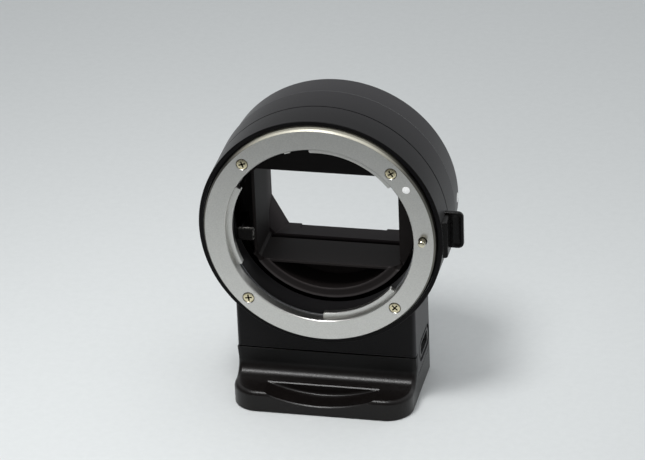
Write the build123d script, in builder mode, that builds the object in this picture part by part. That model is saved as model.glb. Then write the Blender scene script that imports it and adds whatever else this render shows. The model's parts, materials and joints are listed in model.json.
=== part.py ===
# Lens mount adapter: a barrel with a bayonet at each end, standing on a tripod foot
import os
from math import cos, pi, radians, sin
from build123d import *

os.makedirs("parts", exist_ok=True)

# Two mounting faces
face_y = -8.0
mount_depth = 28.5

# Front flange ring
throat_radius = 23.5
flange_width = 5.43
flange_bevel = 0.4
flange_thick = 3.0
tab_reach = 1.5
tab_depth = 1.5
tab_spans = [(38, 95), (151, 206), (270, 321)]
stop_span = (106, 110)
stop_height = 0.55
root_overlap = 0.3
screw_inset = 2.88
screw_angles = [45, 135, 225, 315]
head_radius = 1.42
head_height = 0.75
head_sink = 0.02
shank_radius = 0.85
shank_length = 5.5
hole_extra = 0.4
screw_clearance = 0.05
cross_length = 1.75
cross_width = 0.36
cross_depth = 0.5
dot_inset = 2.68
dot_angle = 32.9
dot_radius = 1.0
dot_depth = 0.4
dot_proud = 0.05

# Barrel
rim_depth = 1.5
rim_wall = 1.55
rim_chamfer = 0.3
groove_depth = 10.1
groove_width = 0.4
groove_cut = 0.35
step_depth = 18.9
step_cut = 0.3
barrel_wall = 1.55
rear_wall = 0.85
rear_proud = 1.2
ring_gap = 0.15
rim_gap = 0.5
bore_gap = 0.1
web_depth = 10.6

# Bayonet leaf spring
leaf_thick = 0.3
leaf_land = 1.7
leaf_lip = 0.3
leaf_tongue_gap = 0.3
leaf_tongue_margin = 12
leaf_gap = 0.05

# Lock pin and release lever
pin_inset = 3.06
pin_angle = 1.6
pin_radius = 0.9
pin_round = 0.5
pin_reach = 2.2
pin_clearance = 0.1
lever_travel = 2.4
arm_depth = 4.35
arm_thick = 1.8
arm_half = 2.9
arm_past_pin = 1.4
arm_root = 0.6
slot_clearance = 0.3
stop_gap = 0.05
shoe_depth = 2.0
shoe_length = 4.5
shoe_half = 4.85
shoe_drop = 0.55
shoe_height = 1.12
shoe_corner = 0.7
shoe_root = 2.0
thumb_height = 4.22
thumb_thick = 1.3
thumb_half = 4.85
thumb_corner = 1.4
dish_edge = 0.55
dish_depth = 0.2
dish_corner = 0.8
barrel_clearance = 0.15
spring_room = 0.8
spring_wire = 0.13
spring_turns = 3
spring_radius = 0.95
spring_seat_gap = 0.02

# Light tunnel
cup_gap = 1.4
cup_rim = 2.6
cup_proud = 0.8
bowl_depth = 4.2
bowl_wall = 0.8
bowl_overlap = 0.3
tunnel_margin_x = 4.2
tunnel_margin_z = 9.8
tunnel_corner = 0.6
tunnel_wall = 0.8
tunnel_floor_cut = 3.2
baffle_flange_thick = 1.2
baffle_clearance = 0.3
baffle_screw_angles = [20, 160, 270]
baffle_screw_inset = 2.0
baffle_screw_reach = 2.0
boss_radius = 1.45
boss_overlap = 0.5
small_shank = 0.6
small_head = 1.15
small_head_height = 0.7
small_cross_length = 1.4
small_cross_width = 0.3
small_cross_depth = 0.35
mask_gap = 0.05
mask_spread = 0.5
mask_ahead = 2.8
mask_behind = 1.0
mask_flange_thick = 0.8
mask_flange_gap = 0.4
mask_corner_x = 4.2
mask_corner_z = 7.9
relief_half = 11.0
relief_cut = 0.35
relief_length = 2.5

# Aperture ring, its paddle and its drive
ring_clearance = 0.06
ring_side_clearance = 0.2
ring_thick = 1.6
ring_web = 2.04
gear_teeth = 162
pinion_teeth = 8
gear_tip = 0.22
gear_root = 0.38
tooth_base = 0.56
tooth_end = 0.2
tooth_sink = 0.2
pinion_slim = 0.9
motor_angle = 115
sector_before = 2
sector_after = 9
motor_radius = 2.2
motor_gap = 0.5
motor_room = 3.0
pinion_bore = 0.4
pinion_side_gap = 0.1
shaft_clearance = 0.05
shaft_hole_gap = 0.4
shaft_hold = 2.0
shaft_end_gap = 0.2
link_inset = 1.8
link_thick = 1.2
link_half = 1.6
link_overlap = 0.5
paddle_reach = 3.3
paddle_half = 1.8
paddle_z = -2.7
paddle_depth = 3.9
paddle_thick = 0.8
paddle_corner = 0.9
pocket_low = -9.0
pocket_high = 7.5
pocket_inset = 2.3

# Contacts
front_contact_span = (57, 93)
front_contact_gap = 0.25
front_contact_width = 2.35
front_contact_height = 3.8
front_pin_angles = [61 + 4 * i for i in range(8)]
front_pin_inset = 1.15
front_pin_radius = 0.45
front_pin_reach = 0.7
pin_seat = 1.6
rear_contact_span = (238, 302)
rear_contact_width = 3.65
rear_contact_gap = 0.05
rear_contact_reach = 3.5
rear_pin_angles = [247.5 + 5 * i for i in range(10)]
rear_pin_inset = 1.85
rear_pin_radius = 0.55
rear_pin_reach = 0.4
pin_chamfer = 0.18

# Rear flange
rear_flange_thick = 2.2
rear_face_width = 6.0
rear_tube_wall = 1.3
rear_tube_length = 4.8
lug_height = 1.6
lug_gap = 1.7
lug_thick = 1.6
lug_spans = [(35, 85), (155, 205), (275, 325)]
rear_screw_inset = 2.85
rear_lock_angle = 180
rear_lock_width = 2.6
rear_lock_length = 3.6
rear_lock_depth = 1.5
rear_boss_half = 3.4
rear_boss_inset = 2.15
rear_boss_length = 9.3
rear_dot_radius = 1.25
rear_dot_inset = 1.9
rear_dot_thick = 0.5
rear_dot_proud = 0.1

# Block and foot
block_half_x = 22.7
block_front = 3.3
block_rear = 22.0
block_corner = 1.2
block_wall = 2.5
block_roof = 3.8
passage_length = 8.0
passage_width = 4.5
barrel_rise = 3.62
seam_z = 12.5
seam_gap = 0.08
seam_chamfer = 0.3
base_thick = 6.1
upstand_thick = 2.4
toe_front = -7.3
toe_height = 5.5
toe_sweep = 3.2
toe_corner = 6.5
cut_fillet = 0.35
lens_floor = 2.75
lens_cut_depth = -1.4
post_radius = 2.6
post_x = 9.0
post_front_gap = 3.0
post_rear_gap = 5.4
board_rise = 2.1
board_thick = 1.2
board_gap_x = 1.8
board_gap_front = 1.0
board_gap_rear = 0.5
foot_shank = 1.0
foot_head = 1.9
foot_head_height = 1.1
foot_head_sink = 0.2
foot_screw_length = 12.8
foot_hole_extra = 0.3
foot_cross_length = 2.2
foot_cross_width = 0.45
foot_cross_depth = 0.6
bush_radius = 5.0
thread_radius = 3.175

# Data socket in the right side of the block
port_inset = 7.5
port_length = 13.0
port_height = 6.2
port_pocket = 0.45
socket_length = 7.5
socket_height = 2.7
socket_long = 5.2
socket_wall = 0.3
socket_corner = 0.6
socket_gap = 0.2
socket_rise = 0.05
socket_foot_share = 0.6
tongue_thick = 0.6
tongue_inset = 0.6
tongue_rise = 0.3
tongue_width = 3.75

# Radii about the optical axis, from the throat outwards
flange_radius = throat_radius + flange_width
tab_radius = throat_radius - tab_reach
screw_circle = flange_radius - screw_inset
dot_circle = flange_radius - dot_inset
pin_circle = flange_radius - pin_inset
recess_radius = flange_radius + rim_gap
rim_radius = flange_radius + rim_wall
leaf_outer = throat_radius + leaf_land
leaf_inner = throat_radius - leaf_lip
leaf_tongue = tab_radius + leaf_tongue_gap
leaf_root = leaf_inner + root_overlap
tab_root = throat_radius + root_overlap
stop_radius = throat_radius - stop_height
bore_radius = throat_radius + bore_gap
cup_radius = bore_radius - cup_gap
ring_inner = cup_radius + ring_clearance
gear_pitch = ring_inner + ring_web
gear_module = 2 * gear_pitch / gear_teeth
pinion_pitch = gear_module * pinion_teeth / 2
motor_circle = gear_pitch + pinion_pitch
cavity_radius = motor_circle + motor_radius + motor_gap
rear_radius = cavity_radius + barrel_wall
rear_flange_radius = rear_radius - rear_wall
rear_recess_radius = rear_flange_radius + ring_gap
rear_tube_outer = rear_flange_radius - rear_face_width
rear_tube_inner = rear_tube_outer - rear_tube_wall
lug_radius = rear_tube_outer + lug_height
lug_root = rear_tube_outer - root_overlap
rear_screw_circle = rear_flange_radius - rear_screw_inset
rear_boss_inner = rear_screw_circle - rear_boss_inset
mask_flange_radius = rear_boss_inner - mask_flange_gap
baffle_flange_radius = cavity_radius - baffle_clearance
baffle_screw_circle = cavity_radius - baffle_screw_inset
notch_length = cavity_radius - rear_boss_inner + 2 * baffle_clearance
notch_middle = (cavity_radius + rear_boss_inner) / 2
front_contact_outer = cup_radius - front_contact_gap
front_contact_inner = front_contact_outer - front_contact_width
front_pin_circle = front_contact_outer - front_pin_inset
rear_contact_outer = rear_tube_inner - rear_contact_gap
rear_contact_inner = rear_contact_outer - rear_contact_width
rear_pin_circle = rear_contact_outer - rear_pin_inset
tunnel_half_x = cup_radius - tunnel_margin_x
tunnel_half_z = cup_radius - tunnel_margin_z
mask_half_x = tunnel_half_x + mask_spread
bowl_radius = cup_radius - cup_rim
link_x = link_inset - cup_radius
paddle_x = link_x + paddle_reach
pocket_x = pocket_inset - cup_radius

# Depths behind the front face
rear_seat = mount_depth - rear_flange_thick
barrel_end = mount_depth - rear_proud
rear_tube_end = mount_depth + rear_tube_length
lug_depth = mount_depth + lug_gap
rear_contact_end = mount_depth + rear_contact_reach
rear_dot_depth = barrel_end - rear_dot_inset
rear_boss_depth = rear_seat - rear_boss_length
arm_end = arm_depth + arm_thick
slot_front = arm_depth - stop_gap
slot_rear = arm_end + lever_travel + spring_room
spring_length = slot_rear - arm_end
thumb_depth = shoe_depth + shoe_length
tunnel_front = web_depth - cup_proud
ring_front = web_depth + ring_side_clearance
flange_front = web_depth + ring_thick + 2 * ring_side_clearance
flange_back = flange_front + baffle_flange_thick
pinion_front = ring_front + pinion_side_gap
pinion_thick = ring_thick - 2 * pinion_side_gap
motor_length = rear_seat - motor_room - flange_back
mask_front = rear_seat - mask_ahead
mask_end = mount_depth + mask_behind
tunnel_wall_end = mask_front - mask_gap
tunnel_floor_end = tunnel_wall_end - tunnel_floor_cut
bowl_end = flange_back + bowl_depth
front_contact_depth = tunnel_front - front_contact_height
upstand_back = block_front + upstand_thick
post_front = upstand_back + post_front_gap
post_rear = block_rear - post_rear_gap
board_front = upstand_back + board_gap_front
board_rear = block_rear - block_wall - board_gap_rear
port_depth = block_rear - port_inset

# Heights, widths and the rest that follows
axis_z = seam_z + barrel_rise + rim_radius
cavity_top = axis_z - cavity_radius - block_roof
lens_clearance = axis_z - lens_floor
board_bottom = base_thick + board_rise
board_top = board_bottom + board_thick
board_half_x = block_half_x - block_wall - board_gap_x
port_z = board_top + socket_rise + socket_height / 2
port_y = face_y + port_depth
socket_out = block_half_x - port_pocket - socket_gap
foot_screw_top = foot_head_sink + foot_screw_length
shoe_out = rim_radius + shoe_height
tab_out = rim_radius + thumb_height
dish_width = thumb_height - shoe_height - 2 * dish_edge
pin_x = pin_circle * cos(radians(pin_angle))
pin_z = pin_circle * sin(radians(pin_angle))
arm_inner = pin_x - arm_past_pin
slot_inner = arm_inner - slot_clearance
motor_x = motor_circle * cos(radians(motor_angle))
motor_z = motor_circle * sin(radians(motor_angle))
gear_root_radius = gear_pitch - gear_root
gear_tip_radius = gear_pitch + gear_tip
pinion_root_radius = pinion_pitch - gear_root
pinion_tip_radius = pinion_pitch + gear_tip
half_base = gear_module * tooth_base * pi / 2
half_end = gear_module * tooth_end * pi / 2


def front(depth):
    return Plane(origin=(0, face_y + depth, axis_z), x_dir=(1, 0, 0), z_dir=(0, -1, 0))


def rear(depth):
    return Plane(origin=(0, face_y + depth, axis_z), x_dir=(-1, 0, 0), z_dir=(0, 1, 0))


def polar(radius, angle):
    return (radius * cos(radians(angle)), radius * sin(radians(angle)))


def mirrored(radius, angle):
    return (-radius * cos(radians(angle)), radius * sin(radians(angle)))


def turned(points, angle):
    c = cos(radians(angle))
    s = sin(radians(angle))
    return [(x * c - z * s, x * s + z * c) for x, z in points]


ring_tooth = [
    (gear_root_radius - tooth_sink, -half_base),
    (gear_root_radius, -half_base),
    (gear_tip_radius, -half_end),
    (gear_tip_radius, half_end),
    (gear_root_radius, half_base),
    (gear_root_radius - tooth_sink, half_base),
]
pinion_tooth = [
    (pinion_root_radius - tooth_sink, -half_base * pinion_slim),
    (pinion_root_radius, -half_base * pinion_slim),
    (pinion_tip_radius, -half_end),
    (pinion_tip_radius, half_end),
    (pinion_root_radius, half_base * pinion_slim),
    (pinion_root_radius - tooth_sink, half_base * pinion_slim),
]
section = Plane(origin=(0, face_y, axis_z), x_dir=(1, 0, 0), z_dir=(0, 0, 1))
optical_axis = Axis((0, face_y, axis_z), (0, 1, 0))
side = Plane(origin=(block_half_x, port_y, port_z), x_dir=(0, 1, 0), z_dir=(1, 0, 0))
screw_points = [polar(screw_circle, a) for a in screw_angles]
rear_screw_points = [mirrored(rear_screw_circle, a) for a in screw_angles]
baffle_points = [polar(baffle_screw_circle, a) for a in baffle_screw_angles]
post_points = [(x, face_y + d) for x in (-post_x, post_x) for d in (post_front, post_rear)]
top_align = (Align.CENTER, Align.CENTER, Align.MAX)
low_align = (Align.CENTER, Align.CENTER, Align.MIN)

# Main housing: the barrel and the block under it
with BuildPart() as main_housing:
    # Outside of the barrel
    with BuildSketch(section):
        with BuildLine():
            Polyline(
                (0, rim_depth),
                (rim_radius - rim_chamfer, rim_depth),
                (rim_radius, rim_depth + rim_chamfer),
                (rim_radius, groove_depth - groove_width / 2),
                (rim_radius - groove_cut, groove_depth - groove_width / 4),
                (rim_radius - groove_cut, groove_depth + groove_width / 4),
                (rim_radius, groove_depth + groove_width / 2),
                (rim_radius, step_depth),
                (rim_radius - step_cut, step_depth + step_cut),
                (rear_radius, barrel_end - rim_chamfer),
                (rear_radius - rim_chamfer, barrel_end),
                (0, barrel_end),
                close=True,
            )
        make_face()
    revolve(axis=optical_axis)
    # Block under the barrel
    with BuildSketch(Plane.XY.offset(base_thick)):
        with Locations((0, face_y + (block_front + block_rear) / 2)):
            RectangleRounded(2 * block_half_x, block_rear - block_front, block_corner)
    extrude(amount=axis_z - base_thick)
    # Bores, seats and the hollow of the barrel
    with BuildSketch(section):
        with BuildLine():
            Polyline(
                (0, rim_depth - 1),
                (recess_radius, rim_depth - 1),
                (recess_radius, flange_thick),
                (leaf_outer + leaf_gap, flange_thick),
                (leaf_outer + leaf_gap, flange_thick + leaf_thick + leaf_gap),
                (bore_radius, flange_thick + leaf_thick + leaf_gap),
                (bore_radius, web_depth),
                (cavity_radius, web_depth),
                (cavity_radius, rear_seat),
                (rear_recess_radius, rear_seat),
                (rear_recess_radius, barrel_end + 1),
                (0, barrel_end + 1),
                close=True,
            )
        make_face()
    revolve(axis=optical_axis, mode=Mode.SUBTRACT)
    # Hollow of the block, its wire passage and the notch for the upstand of the shoe
    with BuildSketch(Plane.XY.offset(base_thick)):
        with Locations((0, face_y + (block_front + block_rear) / 2)):
            Rectangle(2 * (block_half_x - block_wall), block_rear - block_front - 2 * block_wall)
    extrude(amount=cavity_top - base_thick, mode=Mode.SUBTRACT)
    with BuildSketch(Plane.XY.offset(cavity_top - 1)):
        with Locations((0, face_y + port_depth)):
            Rectangle(passage_length, passage_width)
    extrude(amount=axis_z - cavity_radius - cavity_top + 2, mode=Mode.SUBTRACT)
    with BuildSketch(Plane.XY.offset(base_thick)):
        with Locations((0, face_y + (block_front + upstand_back + seam_gap) / 2 - 1)):
            Rectangle(2 * block_half_x + 2, upstand_back + seam_gap - block_front + 2)
    extrude(amount=seam_z - base_thick, mode=Mode.SUBTRACT)
    # Posts that take the foot screws
    with BuildSketch(Plane.XY.offset(board_top)):
        with Locations(*post_points):
            Circle(post_radius)
    extrude(amount=cavity_top - board_top + boss_overlap)
    with BuildSketch(Plane.XY.offset(board_top)):
        with Locations(*post_points):
            Circle(foot_shank)
    extrude(amount=foot_screw_top + foot_hole_extra - board_top, mode=Mode.SUBTRACT)
    # Bosses for the baffle screws and for the rear flange screws
    with BuildSketch(front(web_depth - boss_overlap)):
        with Locations(*baffle_points):
            Circle(boss_radius)
    extrude(amount=-(flange_front - web_depth + boss_overlap))
    for angle in screw_angles:
        with BuildSketch(front(rear_boss_depth)):
            with Locations(Location((0, 0, 0), (0, 0, angle))):
                with Locations(((rear_boss_inner + cavity_radius + boss_overlap) / 2, 0)):
                    Rectangle(cavity_radius + boss_overlap - rear_boss_inner, 2 * rear_boss_half)
        extrude(amount=-(rear_seat - rear_boss_depth))
    # Tapped holes for the screws
    with BuildSketch(front(flange_thick)):
        with Locations(*screw_points):
            Circle(shank_radius)
    extrude(amount=-(shank_length - flange_thick + hole_extra), mode=Mode.SUBTRACT)
    with BuildSketch(rear(rear_seat)):
        with Locations(*rear_screw_points):
            Circle(shank_radius)
    extrude(amount=-(shank_length - rear_flange_thick + hole_extra), mode=Mode.SUBTRACT)
    with BuildSketch(front(web_depth - baffle_screw_reach - hole_extra)):
        with Locations(*baffle_points):
            Circle(small_shank)
    extrude(amount=-(flange_front - web_depth + baffle_screw_reach + hole_extra), mode=Mode.SUBTRACT)
    # Slot for the lever arm and the bore of the lock pin
    with BuildSketch(front(slot_front)):
        with Locations(((slot_inner + rim_radius + 1) / 2, pin_z)):
            Rectangle(rim_radius + 1 - slot_inner, 2 * (arm_half + slot_clearance))
    extrude(amount=-(slot_rear - slot_front), mode=Mode.SUBTRACT)
    with BuildSketch(front(flange_thick)):
        with Locations((pin_x, pin_z)):
            Circle(pin_radius + pin_clearance)
    extrude(amount=-(slot_front - flange_thick + pin_clearance), mode=Mode.SUBTRACT)
    # Pocket and window of the data socket
    with BuildSketch(side):
        SlotOverall(port_length, port_height)
    extrude(amount=-port_pocket, mode=Mode.SUBTRACT)
    with BuildSketch(side):
        Rectangle(socket_length + 2 * socket_gap, socket_height + 2 * socket_gap)
    extrude(amount=-(block_wall + socket_gap), mode=Mode.SUBTRACT)
    # Seat of the rear index mark
    with BuildSketch(Plane(origin=(rear_radius, face_y + rear_dot_depth, axis_z), z_dir=(1, 0, 0))):
        Circle(rear_dot_radius)
    extrude(amount=rear_dot_thick, mode=Mode.SUBTRACT)
    with BuildSketch(Plane(origin=(rear_radius, face_y + rear_dot_depth, axis_z), z_dir=(1, 0, 0))):
        Circle(rear_dot_radius)
    extrude(amount=-rear_dot_thick, mode=Mode.SUBTRACT)
main_housing.part.label = "main_housing"
export_step(main_housing.part, "parts/main_housing.step")

# Front flange: the ring with three inner tabs
with BuildPart() as front_flange:
    with BuildSketch(section):
        with BuildLine():
            Polyline(
                (throat_radius, flange_bevel / 2),
                (throat_radius + flange_bevel / 2, 0),
                (flange_radius - flange_bevel, 0),
                (flange_radius, flange_bevel),
                (flange_radius, flange_thick),
                (throat_radius, flange_thick),
                close=True,
            )
        make_face()
    revolve(axis=optical_axis)
    for start, end in tab_spans:
        with BuildSketch(front(tab_depth)):
            with BuildLine():
                CenterArc((0, 0), tab_root, start, end - start)
                CenterArc((0, 0), tab_radius, start, end - start)
                Line(polar(tab_radius, start), polar(tab_root, start))
                Line(polar(tab_radius, end), polar(tab_root, end))
            make_face()
        extrude(amount=-(flange_thick - tab_depth))
    with BuildSketch(front(tab_depth / 2)):
        with BuildLine():
            CenterArc((0, 0), tab_root, stop_span[0], stop_span[1] - stop_span[0])
            CenterArc((0, 0), stop_radius, stop_span[0], stop_span[1] - stop_span[0])
            Line(polar(stop_radius, stop_span[0]), polar(tab_root, stop_span[0]))
            Line(polar(stop_radius, stop_span[1]), polar(tab_root, stop_span[1]))
        make_face()
    extrude(amount=-(flange_thick - tab_depth / 2))
    with Locations(*[front(0).location * Location((x, z, 0)) for x, z in screw_points]):
        Cone(
            shank_radius + screw_clearance,
            head_radius + screw_clearance,
            head_height,
            align=top_align,
            mode=Mode.SUBTRACT,
        )
        Cylinder(shank_radius + screw_clearance, flange_thick, align=top_align, mode=Mode.SUBTRACT)
    with BuildSketch(front(0)):
        with Locations((pin_x, pin_z)):
            Circle(pin_radius + pin_clearance)
    extrude(amount=-flange_thick, mode=Mode.SUBTRACT)
    with BuildSketch(front(0)):
        with Locations(polar(dot_circle, dot_angle)):
            Circle(dot_radius)
    extrude(amount=-dot_depth, mode=Mode.SUBTRACT)
front_flange.part.label = "front_flange"
export_step(front_flange.part, "parts/front_flange.step")

# Front flange screws
with BuildPart() as front_flange_screws:
    with Locations(*[front(head_sink).location * Location((x, z, 0)) for x, z in screw_points]):
        Cone(shank_radius, head_radius, head_height, align=top_align)
        Cylinder(shank_radius, shank_length, align=top_align)
    with Locations(*[front(head_sink).location * Location((x, z, 0)) for x, z in screw_points]):
        Box(cross_length, cross_width, cross_depth, align=top_align, mode=Mode.SUBTRACT)
        Box(cross_width, cross_length, cross_depth, align=top_align, mode=Mode.SUBTRACT)
front_flange_screws.part.label = "front_flange_screws"
export_step(front_flange_screws.part, "parts/front_flange_screws.step")

# White index dot of the front flange
with BuildPart() as front_index_dot:
    with BuildSketch(front(dot_depth)):
        with Locations(polar(dot_circle, dot_angle)):
            Circle(dot_radius)
    extrude(amount=dot_depth + dot_proud)
front_index_dot.part.label = "front_index_dot"
export_step(front_index_dot.part, "parts/front_index_dot.step")

# Bayonet leaf spring behind the tabs
with BuildPart() as bayonet_spring:
    with BuildSketch(front(flange_thick)):
        Circle(leaf_outer)
        Circle(leaf_inner, mode=Mode.SUBTRACT)
    extrude(amount=-leaf_thick)
    for start, end in tab_spans:
        with BuildSketch(front(flange_thick)):
            with BuildLine():
                first = start + leaf_tongue_margin
                last = end - leaf_tongue_margin
                CenterArc((0, 0), leaf_root, first, last - first)
                CenterArc((0, 0), leaf_tongue, first, last - first)
                Line(polar(leaf_tongue, first), polar(leaf_root, first))
                Line(polar(leaf_tongue, last), polar(leaf_root, last))
            make_face()
        extrude(amount=-leaf_thick)
    with BuildSketch(front(flange_thick)):
        with Locations((pin_x, pin_z)):
            Circle(pin_radius + 2 * pin_clearance)
    extrude(amount=-leaf_thick, mode=Mode.SUBTRACT)
bayonet_spring.part.label = "bayonet_spring"
export_step(bayonet_spring.part, "parts/bayonet_spring.step")

# Lock pin
with BuildPart() as lock_pin:
    with BuildSketch(front(arm_end)):
        with Locations((pin_x, pin_z)):
            Circle(pin_radius)
    extrude(amount=arm_end + pin_reach)
    tip = lock_pin.faces().sort_by(Axis.Y)[0]
    fillet(tip.edges(), pin_round)
lock_pin.part.label = "lock_pin"
export_step(lock_pin.part, "parts/lock_pin.step")

# Release lever: sliding shoe, thumb tab and the arm that holds the pin
with BuildPart() as release_lever:
    with BuildSketch(front(shoe_depth)):
        with Locations(((rim_radius - shoe_root + shoe_out) / 2, pin_z - shoe_drop)):
            Rectangle(shoe_height + shoe_root, 2 * shoe_half)
    extrude(amount=-shoe_length)
    outer = release_lever.edges().filter_by(Axis.Y).sort_by(Axis.X)[-2:]
    fillet(outer, shoe_corner)
    with BuildSketch(front(thumb_depth)):
        with Locations(((rim_radius - shoe_root + tab_out) / 2, pin_z)):
            RectangleRounded(thumb_height + shoe_root, 2 * thumb_half, thumb_corner)
    extrude(amount=-thumb_thick)
    with BuildSketch(section):
        with BuildLine():
            Polyline(
                (0, shoe_depth - 1),
                (rim_radius + barrel_clearance, shoe_depth - 1),
                (rim_radius + barrel_clearance, thumb_depth + thumb_thick + 1),
                (0, thumb_depth + thumb_thick + 1),
                close=True,
            )
        make_face()
    revolve(axis=optical_axis, mode=Mode.SUBTRACT)
    # Dished front of the thumb tab
    with BuildSketch(front(thumb_depth)):
        with Locations(((shoe_out + tab_out) / 2, pin_z)):
            RectangleRounded(dish_width, 2 * (thumb_half - dish_edge), dish_corner)
    extrude(amount=-dish_depth, mode=Mode.SUBTRACT)
    with BuildSketch(front(arm_depth)):
        with Locations(((arm_inner + rim_radius + arm_root) / 2, pin_z)):
            Rectangle(rim_radius + arm_root - arm_inner, 2 * arm_half)
    extrude(amount=-arm_thick)
    with BuildSketch(front(arm_depth)):
        with Locations((pin_x, pin_z)):
            Circle(pin_radius)
    extrude(amount=-arm_thick, mode=Mode.SUBTRACT)
release_lever.part.label = "release_lever"
export_step(release_lever.part, "parts/release_lever.step")

# Return spring behind the lever arm
with BuildPart() as release_spring:
    coil_pitch = (spring_length - 2 * spring_wire - 2 * spring_seat_gap) / spring_turns
    coil_start = (pin_x, face_y + arm_end + spring_wire + spring_seat_gap, axis_z + pin_z)
    with BuildLine():
        coil = Helix(coil_pitch, coil_pitch * spring_turns, spring_radius, center=coil_start, direction=(0, 1, 0))
    with BuildSketch(Plane(origin=coil @ 0, z_dir=coil % 0)):
        RegularPolygon(spring_wire, 6)
    sweep(is_frenet=True)
release_spring.part.label = "release_spring"
export_step(release_spring.part, "parts/release_spring.step")

# Light baffle: the rectangular tunnel in its round cup
with BuildPart() as light_baffle:
    with BuildSketch(front(tunnel_front)):
        Circle(cup_radius)
    extrude(amount=-(flange_front - tunnel_front))
    with BuildSketch(front(flange_front)):
        Circle(baffle_flange_radius)
    extrude(amount=-baffle_flange_thick)
    # Outside of the tunnel behind the flange
    with BuildSketch(front(flange_front)):
        outline = Rectangle(2 * (tunnel_half_x + tunnel_wall), 2 * (tunnel_half_z + tunnel_wall))
        chamfer(outline.vertices(), tunnel_corner + tunnel_wall * 0.41)
    extrude(amount=-(tunnel_wall_end - flange_front))
    # Light passage and the cut back of its floor and roof
    with BuildSketch(front(tunnel_front)):
        window = Rectangle(2 * tunnel_half_x, 2 * tunnel_half_z)
        chamfer(window.vertices(), tunnel_corner)
    extrude(amount=-(tunnel_wall_end - tunnel_front), mode=Mode.SUBTRACT)
    with BuildSketch(front(tunnel_floor_end)):
        Rectangle(2 * (tunnel_half_x - tunnel_corner), 4 * tunnel_half_z)
    extrude(amount=-(tunnel_wall_end - tunnel_floor_end), mode=Mode.SUBTRACT)
    # Crescent bowl under the floor
    with BuildSketch(front(flange_front)):
        Circle(bowl_radius + bowl_wall)
        with Locations((0, cup_radius)):
            Rectangle(
                4 * cup_radius,
                2 * (cup_radius + tunnel_half_z + tunnel_wall - bowl_overlap),
                mode=Mode.SUBTRACT,
            )
    extrude(amount=-(bowl_end + bowl_wall - flange_front))
    with BuildSketch(front(tunnel_front)):
        Circle(bowl_radius)
        with Locations((0, cup_radius)):
            Rectangle(
                4 * cup_radius,
                2 * (cup_radius + tunnel_half_z + tunnel_wall),
                mode=Mode.SUBTRACT,
            )
    extrude(amount=-(bowl_end - tunnel_front), mode=Mode.SUBTRACT)
    # Side hollow where the aperture link travels
    with BuildSketch(front(tunnel_front)):
        with Locations((pocket_x - cup_rim, (pocket_low + pocket_high) / 2)):
            Rectangle(2 * cup_rim, pocket_high - pocket_low)
    extrude(amount=-(flange_front - tunnel_front), mode=Mode.SUBTRACT)
    # Notches round the rear bosses, screw holes and the motor shaft hole
    for angle in screw_angles:
        with BuildSketch(front(flange_front)):
            with Locations(Location((0, 0, 0), (0, 0, angle))):
                with Locations((notch_middle, 0)):
                    Rectangle(notch_length, 2 * (rear_boss_half + baffle_clearance))
        extrude(amount=-baffle_flange_thick, mode=Mode.SUBTRACT)
    with BuildSketch(front(flange_front)):
        with Locations(*baffle_points):
            Circle(small_shank + screw_clearance)
        with Locations((motor_x, motor_z)):
            Circle(pinion_bore + shaft_hole_gap)
    extrude(amount=-baffle_flange_thick, mode=Mode.SUBTRACT)
light_baffle.part.label = "light_baffle"
export_step(light_baffle.part, "parts/light_baffle.step")

# Baffle screws
with BuildPart() as baffle_screws:
    with BuildSketch(front(web_depth - baffle_screw_reach)):
        with Locations(*baffle_points):
            Circle(small_shank)
    extrude(amount=-(flange_back - web_depth + baffle_screw_reach))
    with BuildSketch(front(flange_back)):
        with Locations(*baffle_points):
            Circle(small_head)
    extrude(amount=-small_head_height)
    with BuildSketch(front(flange_back + small_head_height)):
        with Locations(*baffle_points):
            Rectangle(small_cross_length, small_cross_width)
            Rectangle(small_cross_width, small_cross_length)
    extrude(amount=small_cross_depth, mode=Mode.SUBTRACT)
baffle_screws.part.label = "baffle_screws"
export_step(baffle_screws.part, "parts/baffle_screws.step")

# Rear mask: the chamfered window behind the tunnel
with BuildPart() as rear_mask:
    with BuildSketch(front(rear_seat - mask_flange_thick)):
        Circle(mask_flange_radius)
    extrude(amount=-mask_flange_thick)
    with BuildSketch(front(mask_front)):
        with BuildLine():
            Polyline(
                (mask_half_x + tunnel_wall, tunnel_half_z + tunnel_wall - mask_corner_z),
                (mask_half_x + tunnel_wall - mask_corner_x, tunnel_half_z + tunnel_wall),
                (-mask_half_x - tunnel_wall + mask_corner_x, tunnel_half_z + tunnel_wall),
                (-mask_half_x - tunnel_wall, tunnel_half_z + tunnel_wall - mask_corner_z),
                (-mask_half_x - tunnel_wall, -tunnel_half_z - tunnel_wall + mask_corner_z),
                (-mask_half_x - tunnel_wall + mask_corner_x, -tunnel_half_z - tunnel_wall),
                (mask_half_x + tunnel_wall - mask_corner_x, -tunnel_half_z - tunnel_wall),
                (mask_half_x + tunnel_wall, -tunnel_half_z - tunnel_wall + mask_corner_z),
                close=True,
            )
        make_face()
    extrude(amount=-(mask_end - mask_front))
    with BuildSketch(front(mask_front)):
        with BuildLine():
            Polyline(
                (mask_half_x, tunnel_half_z - mask_corner_z),
                (mask_half_x - mask_corner_x, tunnel_half_z),
                (-mask_half_x + mask_corner_x, tunnel_half_z),
                (-mask_half_x, tunnel_half_z - mask_corner_z),
                (-mask_half_x, -tunnel_half_z + mask_corner_z),
                (-mask_half_x + mask_corner_x, -tunnel_half_z),
                (mask_half_x - mask_corner_x, -tunnel_half_z),
                (mask_half_x, -tunnel_half_z + mask_corner_z),
                close=True,
            )
        make_face()
    extrude(amount=-(mask_end - mask_front), mode=Mode.SUBTRACT)
    # Shallow relief along the floor and the roof of the window
    with BuildSketch(front(mask_end - relief_length)):
        Rectangle(2 * relief_half, 2 * (tunnel_half_z + relief_cut))
    extrude(amount=-relief_length, mode=Mode.SUBTRACT)
rear_mask.part.label = "rear_mask"
export_step(rear_mask.part, "parts/rear_mask.step")

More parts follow.
